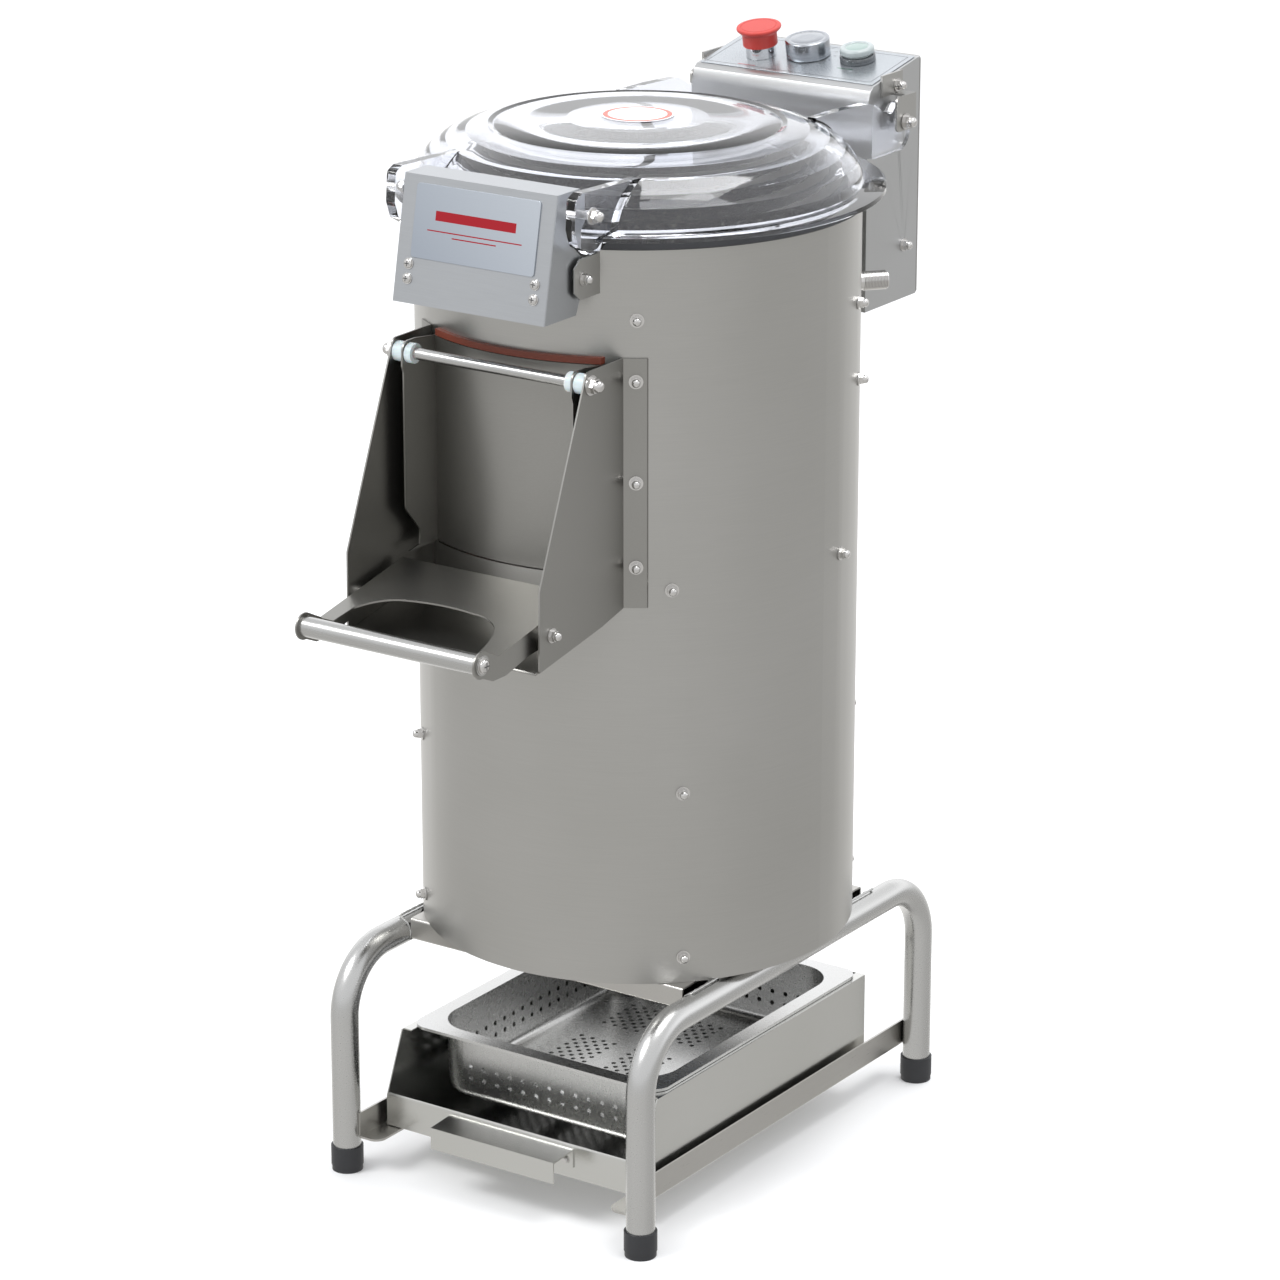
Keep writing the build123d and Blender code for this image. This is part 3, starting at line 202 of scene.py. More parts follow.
def clear_look():
    """Clear, very slightly blue moulded plastic with faint flow marks."""
    look = Look("clear_plastic", Transmission_Weight=1.0, IOR=1.46, Metallic=0.0)
    flow = look.noise(look.stretched(14, 14, 30), 2.0, 0.5)
    scuffs = look.noise(look.stretched(260, 260, 260), 4.0, 0.7)
    look.set("Base Color", look.mix(flow, (0.91, 0.93, 0.985), (0.97, 0.975, 0.995)))
    spread_out = look.node("ShaderNodeMapRange", Value=scuffs, To_Min=0.0, To_Max=0.05)
    look.set("Roughness", spread_out.outputs[0])
    return look


def abrasive_look():
    """Bonded grit: dark coarse grains with lighter sparkling ones."""
    look = Look("abrasive", Metallic=0.0, IOR=1.6)
    cells = look.node("ShaderNodeTexVoronoi", Vector=look.stretched(420, 420, 420), Scale=1.0)
    grains = look.noise(look.stretched(900, 900, 900), 3.0, 0.7)
    base = look.ramp(cells.outputs["Color"], (0.2, (0.018, 0.018, 0.019)),
                     (0.75, (0.045, 0.044, 0.043)), (0.95, (0.14, 0.13, 0.12)))
    look.set("Base Color", base)
    look.set("Roughness", look.ramp(grains, (0.3, (0.55,) * 3), (0.7, (0.9,) * 3)))
    look.bump(cells.outputs["Distance"], 0.9, 0.0009)
    return look


def spun_look():
    """Turned aluminium: fine rings round the piece's own Z axis."""
    look = Look("spun_aluminium", Metallic=1.0)
    parts = look.node("ShaderNodeSeparateXYZ", Vector=look.coord)
    x, y, z = parts.outputs
    radius = look.math("SQRT", look.math("ADD", look.math("MULTIPLY", x, x),
                                         look.math("MULTIPLY", y, y)))
    turn = look.math("ARCTAN2", y, x)
    along = look.node("ShaderNodeCombineXYZ", X=look.math("MULTIPLY", radius, 2600.0),
                      Y=look.math("MULTIPLY", turn, 0.6),
                      Z=look.math("MULTIPLY", z, 2600.0))
    rings = look.noise(along.outputs[0], 3.0, 0.6)
    look.set("Base Color", look.mix(rings, (0.38, 0.40, 0.43), (0.45, 0.47, 0.50)))
    spread_out = look.node("ShaderNodeMapRange", Value=rings, To_Min=0.20, To_Max=0.30)
    look.set("Roughness", spread_out.outputs[0])
    look.bump(rings, 0.12, 0.000004)
    return look


looks["clear_plastic"] = clear_look()
looks["abrasive"] = abrasive_look()
looks["spun_aluminium"] = spun_look()

# ---------------------------------------------------------------------------
# places on the object
# ---------------------------------------------------------------------------
PANEL_SLOPE = math.radians(10.4)
PANEL_Y, PANEL_Z = 225.4, 917.0
FOIL_Y = 266.2
ESTOP_AT = (-44.6, 261.0)
KNOB_AT = (-3.4, 274.0)
START_AT = (46.0, 277.0)
COVER_TILT = math.radians(11.06)
COVER_TOP = (-224.6, 906.3)
COVER_BOTTOM = (-244.8, 802.9)
PLATE_Z = 870.0
FOIL_LIFT = 0.25
PLATE_LIFT = 0.05


def frame_matrix(origin, x_dir, z_dir):
    """Placement in metres whose local X and Z point along the given directions."""
    z_axis = Vector(z_dir).normalized()
    x_axis = Vector(x_dir).normalized()
    y_axis = z_axis.cross(x_axis)
    placed = Matrix((x_axis, y_axis, z_axis)).transposed().to_4x4()
    placed.translation = Vector(origin) * MM
    return placed


def on_panel(x, y, lift=0.0):
    """Placement on the sloping top of the control box, local Z outwards."""
    z = PANEL_Z + (y - PANEL_Y) * math.tan(PANEL_SLOPE)
    normal = Vector((0, -math.sin(PANEL_SLOPE), math.cos(PANEL_SLOPE)))
    return frame_matrix(Vector((x, y, z)) + normal * lift, (1, 0, 0), normal)


def on_cover(x, height, lift=0.0):
    """Placement on the sloping face of the latch cover, local Z outwards."""
    t = (COVER_TOP[1] - height) / (COVER_TOP[1] - COVER_BOTTOM[1])
    y = COVER_TOP[0] + t * (COVER_BOTTOM[0] - COVER_TOP[0])
    normal = Vector((0, -math.cos(COVER_TILT), math.sin(COVER_TILT)))
    return frame_matrix(Vector((x, y, height)) + normal * lift, (1, 0, 0), normal)


# ---------------------------------------------------------------------------
# printed faces
# ---------------------------------------------------------------------------
def band(look, value, low, high):
    """1 where low < value < high."""
    return look.math("MULTIPLY", look.math("GREATER_THAN", value, low),
                     look.math("LESS_THAN", value, high))


def edge_distance(look, x, y, half_x, half_y):
    """Distance outside a rectangle's sides, negative inside."""
    dx = look.math("SUBTRACT", look.math("ABSOLUTE", x), half_x)
    dy = look.math("SUBTRACT", look.math("ABSOLUTE", y), half_y)
    return look.math("MAXIMUM", dx, dy)


def centred(look, x, y, at_x, at_y):
    """Radius and angle about a point."""
    dx = look.math("SUBTRACT", x, at_x)
    dy = look.math("SUBTRACT", y, at_y)
    radius = look.math("SQRT", look.math("ADD", look.math("MULTIPLY", dx, dx),
                                         look.math("MULTIPLY", dy, dy)))
    return radius, look.math("ARCTAN2", dy, dx)


def flat_coords(look):
    """Local X and Y in millimetres."""
    parts = look.node("ShaderNodeSeparateXYZ", Vector=look.coord)
    return (look.math("MULTIPLY", parts.outputs[0], 1000.0),
            look.math("MULTIPLY", parts.outputs[1], 1000.0))


def on_foil(at):
    """Foil coordinates of a control, from the foil's own centre."""
    return at[0], (at[1] - FOIL_Y) / math.cos(PANEL_SLOPE)


def foil_look():
    """Silver printed foil: thin dark border, dial ticks and small plain marks."""
    look = Look("panel_foil", Metallic=0.85)
    x, y = flat_coords(look)
    cloud = look.noise(look.stretched(9, 9, 9), 2.0, 0.5)
    silver = look.mix(cloud, (0.43, 0.46, 0.49), (0.50, 0.53, 0.56))
    border = band(look, edge_distance(look, x, y, 84.5, 31.5), 0.0, 0.7)
    knob_r, knob_turn = centred(look, x, y, *on_foil(KNOB_AT))
    step = look.math("FRACT", look.math("MULTIPLY", look.math("ADD", knob_turn, math.pi),
                                        15 / math.pi / 2))
    sweep = look.math("LESS_THAN", look.math("ABSOLUTE", look.math("ADD", knob_turn, -1.57)), 2.6)
    ticks = look.math("MULTIPLY", band(look, knob_r, 23.4, 26.0),
                      look.math("LESS_THAN", step, 0.10))
    ticks = look.math("MULTIPLY", ticks, sweep)
    ink = look.math("MAXIMUM", border, ticks)
    silver = look.mix(ink, silver, (0.06, 0.06, 0.07))
    stop_x, stop_y = on_foil(ESTOP_AT)
    start_x, start_y = on_foil(START_AT)
    red = look.math("MULTIPLY", band(look, x, stop_x - 9, stop_x + 9),
                    band(look, y, stop_y - 25.2, stop_y - 24.0))
    silver = look.mix(red, silver, (0.45, 0.03, 0.04))
    green = look.math("MULTIPLY", band(look, x, start_x - 8, start_x + 8),
                      band(look, y, start_y - 22.5, start_y - 21.3))
    silver = look.mix(green, silver, (0.04, 0.20, 0.10))
    look.set("Base Color", silver)
    skin = look.noise(look.stretched(1500, 1500, 1500), 3.0, 0.6)
    spread_out = look.node("ShaderNodeMapRange", Value=skin, To_Min=0.20, To_Max=0.34)
    look.set("Roughness", spread_out.outputs[0])
    look.bump(look.math("ADD", skin, look.math("MULTIPLY", ink, 2.0)), 0.15, 0.00003)
    return look


def plate_look():
    """Brushed aluminium plate with a painted sheen, lighter and bluer towards the upper right, a
    plain printed bar and two thin rules.
    """
    look = Look("plate_aluminium", Metallic=1.0)
    x, y = flat_coords(look)
    brush = look.noise(look.stretched(25, 2600, 1), 4.0, 0.6)
    # painted sheen: the plate's colour runs from darker at the lower left to lighter at the upper
    # right
    painted_sheen_ramp = look.node("ShaderNodeMapRange", Value=look.math("ADD", x, y), From_Min=-80.0,
                     From_Max=80.0).outputs[0]
    silver = look.mix(painted_sheen_ramp, (0.38, 0.42, 0.48), (0.55, 0.59, 0.64))
    silver = look.mix(look.math("MULTIPLY", brush, 0.35), silver, (0.40, 0.43, 0.47))
    bar = look.math("MULTIPLY", band(look, y, 2.0, 10.0), band(look, x, -40.0, 40.0))
    tail = look.math("MULTIPLY", band(look, y, -7.0, -6.0), band(look, x, -47.0, 47.0))
    tail = look.math("MAXIMUM", tail, look.math(
        "MULTIPLY", band(look, y, -11.0, -10.0), band(look, x, -22.0, 22.0)))
    silver = look.mix(look.math("MAXIMUM", bar, tail), silver, (0.42, 0.03, 0.04))
    look.set("Base Color", silver)
    spread_out = look.node("ShaderNodeMapRange", Value=brush, To_Min=0.26, To_Max=0.42)
    look.set("Roughness", spread_out.outputs[0])
    look.bump(brush, 0.25, 0.00002)
    return look


def badge_look():
    """Round white sticker with a red ring."""
    look = Look("lid_badge", Metallic=0.0, IOR=1.5)
    x, y = flat_coords(look)
    radius, _ = centred(look, x, y, 0.0, 0.0)
    drift = look.noise(look.stretched(60, 60, 60), 2.0, 0.5)
    paper = look.mix(drift, (0.74, 0.75, 0.78), (0.82, 0.83, 0.85))
    look.set("Base Color", look.mix(band(look, radius, 25.0, 29.4), paper, (0.62, 0.07, 0.04)))
    skin = look.noise(look.stretched(1200, 1200, 1200), 2.0, 0.5)
    spread_out = look.node("ShaderNodeMapRange", Value=skin, To_Min=0.22, To_Max=0.34)
    look.set("Roughness", spread_out.outputs[0])
    look.bump(skin, 0.1, 0.00002)
    return look


def ring_look():
    """Start button collar: satin dark grey metal ring."""
    look = Look("start_ring", Metallic=0.75)
    skin = look.noise(look.stretched(900, 900, 900), 2.0, 0.5)
    look.set("Base Color", look.mix(skin, (0.13, 0.14, 0.15), (0.20, 0.21, 0.22)))
    spread_out = look.node("ShaderNodeMapRange", Value=skin, To_Min=0.22, To_Max=0.34)
    look.set("Roughness", spread_out.outputs[0])
    look.bump(skin, 0.15, 0.00002)
    return look


def lens_look():
    """Milky translucent lip round a grey-green button face."""
    look = Look("green_plastic", IOR=1.45, Transmission_Weight=0.25)
    x, y = flat_coords(look)
    radius, _ = centred(look, x, y, 0.0, 0.0)
    drift = look.noise(look.stretched(120, 120, 120), 2.0, 0.5)
    lip = look.mix(drift, (0.42, 0.47, 0.475), (0.50, 0.55, 0.555))
    face = look.mix(drift, (0.34, 0.43, 0.41), (0.40, 0.50, 0.475))
    look.set("Base Color", look.mix(look.math("LESS_THAN", radius, 9.9), lip, face))
    skin = look.noise(look.stretched(900, 900, 900), 2.0, 0.5)
    spread_out = look.node("ShaderNodeMapRange", Value=skin, To_Min=0.16, To_Max=0.30)
    look.set("Roughness", spread_out.outputs[0])
    look.bump(skin, 0.15, 0.00002)
    return look


looks["start_ring"] = ring_look()
looks["panel_foil"] = foil_look()
looks["plate_aluminium"] = plate_look()
looks["lid_badge"] = badge_look()
looks["green_plastic"] = lens_look()

# ---------------------------------------------------------------------------
# CAD nodes: material and edge finish
# ---------------------------------------------------------------------------
FINISH = {
    "drum_shell": ("drum_steel", 0.0),
    "left_side_frame": ("tube_steel", 0.0),
    "right_side_frame": ("tube_steel", 0.0),
    "cross_members": ("rail_steel", 0.0),
    "left_drawer_rail": ("rail_steel", 0.3),
    "right_drawer_rail": ("rail_steel", 0.3),
    "rubber_feet": ("black_rubber", 0.8),
    "chamber_floor": ("sheet_steel", 0.0),
    "abrasive_liner": ("abrasive", 0.0),
    "drum_screws": ("bright_steel", 0.25),
    "box_bracket": ("sheet_steel", 0.3),
    "bearing_housing": ("cast_aluminium", 0.0),
    "bearings": ("shaft_steel", 0.0),
    "shaft_seal": ("black_rubber", 0.2),
    "drive_shaft": ("shaft_steel", 0.3),
    "turntable": ("cast_aluminium", 0.0),
    "abrasive_disc": ("abrasive", 0.0),
    "turntable_nut": ("bright_steel", 0.4),
    "driven_pulley": ("cast_aluminium", 0.5),
    "motor_pulley": ("cast_aluminium", 0.4),
    "drive_belt": ("belt_rubber", 0.4),
    "motor_body": ("motor_paint", 0.5),
    "motor_shaft": ("shaft_steel", 0.3),
    "motor_plate": ("sheet_steel", 0.5),
    "motor_hangers": ("bright_steel", 0.3),
    "lid_dome": ("clear_plastic", 0.0),
    "lid_gasket": ("black_rubber", 0.0),
    "lid_bolts": ("bright_steel", 0.3),
    "hinge_brackets": ("sheet_steel", 0.3),
    "latch_cover": ("cover_steel_painted_sky", 0.45),
    "catch_tabs": ("sheet_steel", 0.3),
    "left_cheek": ("chute_steel_painted_shade", 0.35),
    "right_cheek": ("chute_steel_painted_shade", 0.35),
    "chute_floor": ("chute_steel_painted_shade", 0.35),
    "hinge_rod": ("rod_steel", 0.0),
    "rod_nuts": ("bright_steel", 0.3),
    "rod_spacers": ("white_nylon", 0.0),
    "discharge_door": ("chute_steel_painted_shade", 0.0),
    "door_gasket": ("brown_rubber", 0.0),
    "lever_flap": ("chute_steel_painted_shade", 0.35),
    "handle_bar": ("rod_steel", 0.0),
    "lever_pivot_bolts": ("bright_steel", 0.3),
    "control_box": ("box_steel", 0.45),
    "box_back_cover": ("sheet_steel", 0.35),
    "estop_collar": ("chrome", 0.3),
    "switch_blocks": ("dark_plastic", 0.8),
    "cable_gland": ("dark_plastic", 0.0),
    "filter_drawer": ("drawer_steel", 0.35),
    "drawer_handle": ("drawer_steel", 0.35),
    "drawer_handle_screws": ("bright_steel", 0.2),
    "perforated_pan": ("pan_steel", 0.0),
}
SMOOTH_ANGLE = math.radians(32)


def finish_node(name, look_name, bevel):
    """Give a CAD node its material, and a small edge radius where its faces are flat."""
    target = nodes[name]
    mesh = target.data
    mesh.materials.clear()
    mesh.materials.append(looks[look_name].material)
    if not bevel:
        return
    if "custom_normal" in mesh.attributes:
        mesh.attributes.remove(mesh.attributes["custom_normal"])
    mesh.polygons.foreach_set("use_smooth", [True] * len(mesh.polygons))
    weld = target.modifiers.new("weld", "WELD")
    weld.merge_threshold = 0.000005
    rounded = target.modifiers.new("edge", "BEVEL")
    rounded.width = bevel * MM
    rounded.segments = 2
    rounded.limit_method = "ANGLE"
    rounded.angle_limit = SMOOTH_ANGLE
    rounded.use_clamp_overlap = True
    split = target.modifiers.new("split", "EDGE_SPLIT")
    split.split_angle = SMOOTH_ANGLE
    split.use_edge_sharp = False
    weighted = target.modifiers.new("normals", "WEIGHTED_NORMAL")
    weighted.mode = "FACE_AREA"
    weighted.weight = 80
    weighted.keep_sharp = True


for node_name, (look_name, bevel) in FINISH.items():
    finish_node(node_name, look_name, bevel)


# ---------------------------------------------------------------------------
# detailed pieces
# ---------------------------------------------------------------------------
def add_piece(name, mesh_data, placed, look_name, body, smooth=SMOOTH_ANGLE):
    """Link a mesh made in millimetres, shade it and let it ride on its body."""
    mesh = bpy.data.meshes.new(name)
    mesh_data.transform(Matrix.Scale(MM, 4))
    mesh_data.to_mesh(mesh)
    mesh_data.free()
    mesh.materials.append(looks[look_name].material)
    mesh.shade_smooth()
    piece = bpy.data.objects.new(name, mesh)
    bpy.context.scene.collection.objects.link(piece)
    piece.matrix_world = placed
    split = piece.modifiers.new("split", "EDGE_SPLIT")
    split.split_angle = smooth
    split.use_edge_sharp = False
    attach(piece, body)
    return piece


def lathe(profile, segments=96):
    """Closed body turned round Z from (radius, height) points."""
    built = bmesh.new()
    rings = []
    for radius, height in profile:
        if radius < 1e-6:
            rings.append([built.verts.new((0, 0, height))])
            continue
        ring = []
        for i in range(segments):
            turn = 2 * math.pi * i / segments
            ring.append(built.verts.new((radius * math.cos(turn), radius * math.sin(turn),
                                         height)))
        rings.append(ring)
    for low, high in zip(rings, rings[1:]):
        for i in range(segments):
            j = (i + 1) % segments
            if len(low) == 1:
                built.faces.new((low[0], high[j], high[i]))
            elif len(high) == 1:
                built.faces.new((low[i], low[j], high[0]))
            else:
                built.faces.new((low[i], low[j], high[j], high[i]))
    bmesh.ops.remove_doubles(built, verts=built.verts, dist=0.0001)
    bmesh.ops.recalc_face_normals(built, faces=built.faces)
    return built


ESTOP_PROFILE = [
    (0, -14), (10.8, -14), (10.8, 22.3), (14.0, 22.3), (14.0, 11.5), (14.3, 11.2), (15.2, 11.2),
    (15.5, 11.6), (15.5, 21.6), (15.8, 22.3), (17.2, 23.6), (18.8, 25.0), (19.7, 26.0),
    (20.0, 26.9), (19.9, 27.6), (19.5, 28.2), (18.9, 28.45), (16.4, 28.5), (16.2, 28.2),
    (15.6, 28.2), (15.4, 28.5), (8, 28.5), (0, 28.5),
]
KNOB_PROFILE = [
    (0, -10), (6, -10), (6, 1.3), (19.2, 1.3), (19.6, 1.5), (19.8, 2.0), (19.8, 4.6),
    (19.5, 4.8), (19.5, 5.2), (19.8, 5.4), (19.8, 15.9), (19.65, 16.5), (19.2, 17.0),
    (18.5, 17.25), (15.2, 17.25), (15.0, 17.15), (14.8, 17.25), (7, 17.25), (0, 17.25),
]
START_PROFILE = [
    (0, -14), (9, -14), (9, 2.5), (12.6, 2.5), (12.9, 3), (12.9, 8.7), (14.8, 8.7),
    (15.2, 9.0), (15.3, 9.6), (15.3, 11.8), (15.0, 12.8), (14.3, 13.6), (13.2, 14.1),
    (12.2, 14.2), (10.8, 14.0), (10.2, 13.4), (9.8, 13.4), (9.3, 13.7), (5, 14.0), (0, 14.1),
]
COLLAR_PROFILE = [
    (13.2, 0.85), (15.5, 0.85), (15.8, 1.2), (15.8, 3.1), (15.5, 3.3), (15.5, 3.6),
    (15.8, 3.8), (15.8, 6.0), (15.5, 6.5), (15.0, 6.74), (13.2, 6.74), (13.2, 0.85),
]


def stand_in(name, mesh_data, placed, look_name, slot_name, body, *replaced):
    """Detailed piece shown in place of CAD nodes."""
    piece = add_piece(name, mesh_data, placed, look_name, body)
    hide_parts(*replaced)
    return piece


stand_in("estop_head", lathe(ESTOP_PROFILE), on_panel(*ESTOP_AT), "red_plastic", "red_plastic",
         "estop", "estop_button")
stand_in("knob_head", lathe(KNOB_PROFILE, 128), on_panel(*KNOB_AT), "spun_aluminium",
         "spun_aluminium", "knob", "timer_knob")
stand_in("start_cap", lathe(START_PROFILE), on_panel(*START_AT), "green_plastic",
         "green_plastic", "start", "start_button")
stand_in("start_ring", lathe(COLLAR_PROFILE), on_panel(*START_AT), "start_ring",
         "dark_plastic", "machine", "start_collar")


def rounded_sheet(half_x, half_y, corner, thickness, edge, holes=()):
    """Thin plate with rounded corners, a small top edge radius and round holes."""
    built = bmesh.new()
    outline = []
    for cx, cy, start in ((1, 1, 0), (-1, 1, 90), (-1, -1, 180), (1, -1, 270)):
        for i in range(9):
            turn = math.radians(start + i * 90 / 8)
            outline.append((cx * (half_x - corner) + corner * math.cos(turn),
                            cy * (half_y - corner) + corner * math.sin(turn)))
    loops = []
    for inset, height in ((0, 0), (0, thickness - edge), (edge, thickness)):
        sx, sy = 1 - inset / half_x, 1 - inset / half_y
        loops.append([built.verts.new((x * sx, y * sy, height)) for x, y in outline])
    count = len(outline)
    for low, high in zip(loops, loops[1:]):
        for i in range(count):
            j = (i + 1) % count
            built.faces.new((low[i], low[j], high[j], high[i]))
    if not holes:
        built.faces.new(loops[-1])
        built.faces.new(loops[0][::-1])
        return built
    for loop, height in ((loops[-1], thickness), (loops[0], 0)):
        edges = [built.edges.get((loop[i], loop[(i + 1) % count])) for i in range(count)]
        for x, y, radius in holes:
            ring = [built.verts.new((x + radius * math.cos(math.pi * k / 24),
                                     y + radius * math.sin(math.pi * k / 24), height))
                    for k in range(48)]
            edges += [built.edges.new((ring[k], ring[(k + 1) % 48])) for k in range(48)]
        bmesh.ops.triangle_fill(built, edges=edges, use_beauty=True)
    bmesh.ops.recalc_face_normals(built, faces=built.faces)
    return built


foil_holes = [(*on_foil(at), 11.4) for at in (ESTOP_AT, KNOB_AT, START_AT)]
stand_in("control_print", rounded_sheet(89.5, 36.5, 2, 0.5, 0.12, foil_holes),
         on_panel(0, FOIL_Y, FOIL_LIFT), "panel_foil", "panel_foil", "machine", "control_foil")
stand_in("plate_print", rounded_sheet(61.5, 30.5, 3, 1.2, 0.3), on_cover(0, PLATE_Z, PLATE_LIFT),
         "plate_aluminium", "plate_aluminium", "latch", "name_plate")

BADGE_R = 31.0
BADGE_PROFILE = [(0, 0.1), (BADGE_R, -0.45), (BADGE_R, -0.25), (0, 0.3)]
badge = add_piece("lid_badge", lathe(BADGE_PROFILE), Matrix.Translation((0, 0, 0.9235)),
                  "lid_badge", "lid")


WASHER_T = 0.8
SHADE_DECAL_LIFT = 0.01


def screw_head(head, height, washer, shank, length):
    """Round head on a thin washer; its pressed cross recess is not cut here but painted as shade by
    a separate flat decal.
    """
    built = lathe([
        (0, -length), (shank, -length), (shank, 0), (washer, 0), (washer, 0.6),
        (washer - 0.2, WASHER_T), (head, WASHER_T), (head, WASHER_T + height * 0.45),
        (head * 0.9, WASHER_T + height * 0.75), (head * 0.72, WASHER_T + height * 0.92),
        (head * 0.62, WASHER_T + height), (0, WASHER_T + height),
    ], 48)
    return built


def cross_shade_decal(reach, width, top):
    """Flat near-black cross that lies just above the screw head: painted shade where the cross
    recess would be.
    """
    built = bmesh.new()
    a, b = width / 2, reach
    points = [(a, b), (-a, b), (-a, a), (-b, a), (-b, -a), (-a, -a), (-a, -b), (a, -b),
              (a, -a), (b, -a), (b, a), (a, a)]
    rim = [built.verts.new((x, y, top)) for x, y in points]
    well = [built.verts.new((x * 0.35, y * 0.35, top)) for x, y in points]
    for i in range(12):
        j = (i + 1) % 12
        built.faces.new((rim[i], rim[j], well[j], well[i]))
    built.faces.new(well)
    return built


def screws(prefix, places, sizes, body, replaced):
    """A row of cross-headed screws in place of one CAD node."""
    head, height, washer, shank, length = sizes
    top = WASHER_T + height
    for index, placed in enumerate(places):
        whole = screw_head(head, height, washer, shank, length)
        made = add_piece(f"{prefix}_{index}", whole, placed, "bright_steel", body)
        if index == 0:
            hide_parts(replaced)
        # painted shade: a flat dark cross over each head in place of the recess hollow
        shade_decal = add_piece(f"{prefix}_recess_{index}",
                           cross_shade_decal(head * 0.6, head * 0.22, top + SHADE_DECAL_LIFT),
                           placed, "recess_shade", body)


# painted shade: near-black colour for the cross decals that stand in for the screw recesses
looks["recess_shade"] = moulded("recess_shade", (0.045, 0.045, 0.045), 0.5)
COVER_SCREWS = [on_cover(s * 63, z, 0.05) for s in (-1, 1) for z in (834.5, 822.5)]
screws("cover_screw", COVER_SCREWS, (3.8, 2.0, 4.75, 2.0, 1.4), "latch", "latch_screws")
BAR_CENTRE = (-353.0, 550.0)
END_SCREWS = [frame_matrix((s * 91.05, *BAR_CENTRE), (0, 1, 0), (s, 0, 0)) for s in (-1, 1)]
screws("bar_screw", END_SCREWS, (5.6, 3.2, 7.0, 3.9, 14.0), "lever", "handle_end_screws")

# ---------------------------------------------------------------------------
# water inlet: threaded stub through the drum wall
# ---------------------------------------------------------------------------
INLET_TURN, INLET_Z = math.radians(50.0), 765.0
INLET_START, INLET_R, INLET_BORE = 181.5, 8.33, 6.3
THREAD_START, THREAD_PITCH, THREAD_DEEP = 19.5, 1.34, 0.75
INLET_END = 41.5
inlet = [(INLET_BORE, 0), (7.6, 0), (7.6, 8.7), (10.7, 8.7), (11, 9.0), (11, 12.2),
         (10.6, 12.6), (7.6, 12.6), (7.6, THREAD_START - 0.8)]
for turn in range(16):
    low = THREAD_START + turn * THREAD_PITCH
    inlet += [(INLET_R - THREAD_DEEP, low), (INLET_R, low + 0.42), (INLET_R, low + 0.62),
              (INLET_R - THREAD_DEEP, low + 1.04)]
inlet += [(INLET_R - THREAD_DEEP, INLET_END), (INLET_BORE + 0.3, INLET_END),
          (INLET_BORE, INLET_END - 0.3), (INLET_BORE, 0)]
outward = Vector((math.cos(INLET_TURN), math.sin(INLET_TURN), 0))
INLET_PLACE = frame_matrix(outward * INLET_START + Vector((0, 0, INLET_Z)), (0, 0, 1), outward)
stub = add_piece("inlet_stub", lathe(inlet, 72), INLET_PLACE, "bright_steel", "machine",
                 smooth=math.radians(25))
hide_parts("water_inlet")

# ---------------------------------------------------------------------------
# weld beads on the stand
# ---------------------------------------------------------------------------
LEG_X, TUBE_TOP_Z, TUBE_R = 156.0, 198.0, 12.5
BAR_HALF = (20.0, 10.0)
BAR_Y, BAR_Z = 124.0, 202.5


def bead(outline, radius, segments=8):
    """Rippled closed cord of weld metal along a loop of points."""
    built = bmesh.new()
    rings = []
    count = len(outline)
    for i, point in enumerate(outline):
        along = (outline[(i + 1) % count] - outline[i - 1]).normalized()
        first = along.orthogonal().normalized()
        second = along.cross(first)
        swell = radius * (1 + 0.18 * math.sin(i * 2.1))
        rings.append([built.verts.new(point + (first * math.cos(2 * math.pi * k / segments)
                                               + second * math.sin(2 * math.pi * k / segments))
                                      * swell) for k in range(segments)])
    for i in range(count):
        low, high = rings[i], rings[(i + 1) % count]
        shift = min(range(segments), key=lambda s: (low[0].co - high[s].co).length)
        for k in range(segments):
            m = (k + 1) % segments
            built.faces.new((low[k], low[m], high[(m + shift) % segments],
                             high[(k + shift) % segments]))
    bmesh.ops.recalc_face_normals(built, faces=built.faces)
    return built


def bar_outline(side, y_centre):
    """Loop where a rectangular bar meets the side tube."""
    points = []
    corners = [(-1, -1), (1, -1), (1, 1), (-1, 1)]
    for (ya, za), (yb, zb) in zip(corners, corners[1:] + corners[:1]):
        steps = 14 if za == zb else 7
        for i in range(steps):
            t = i / steps
            y = y_centre + BAR_HALF[0] * (ya + (yb - ya) * t)
            z = BAR_Z + BAR_HALF[1] * (za + (zb - za) * t)
            reach = math.sqrt(max(TUBE_R ** 2 - (z - TUBE_TOP_Z) ** 2, 0.5))
            points.append(Vector((side * (LEG_X - reach), y, z)))
    return points


for side in (-1, 1):
    for row in (-1, 1):
        made = add_piece(f"weld_{'left' if side < 0 else 'right'}_{'front' if row < 0 else 'rear'}",
                         bead(bar_outline(side, row * BAR_Y), 1.1), Matrix.Identity(4),
                         "tube_steel", "machine")

# ---------------------------------------------------------------------------
# floor, light and camera
# ---------------------------------------------------------------------------
scene = bpy.context.scene
scene.view_settings.view_transform = "Standard"
scene.view_settings.look = "None"

FLOOR_HALF = 60.0


def pale_floor():
    """Wide pale floor; it stays out of mirror reflections, which see the soft sky instead."""
    look = Look("floor", Metallic=0.0, IOR=1.4)
    drift = look.noise(look.stretched(1.5, 1.5, 1.5), 3.0, 0.5)
    look.set("Base Color", look.mix(drift, (0.905, 0.91, 0.92), (0.935, 0.94, 0.945)))
    look.set("Roughness", look.ramp(drift, (0.0, (0.85,) * 3), (1.0, (0.95,) * 3)))
    looks["floor"] = look
    bpy.ops.mesh.primitive_plane_add(size=2 * FLOOR_HALF)
    floor = bpy.context.object
    floor.name = "floor"
    floor.data.materials.append(look.material)
    floor.visible_glossy = False


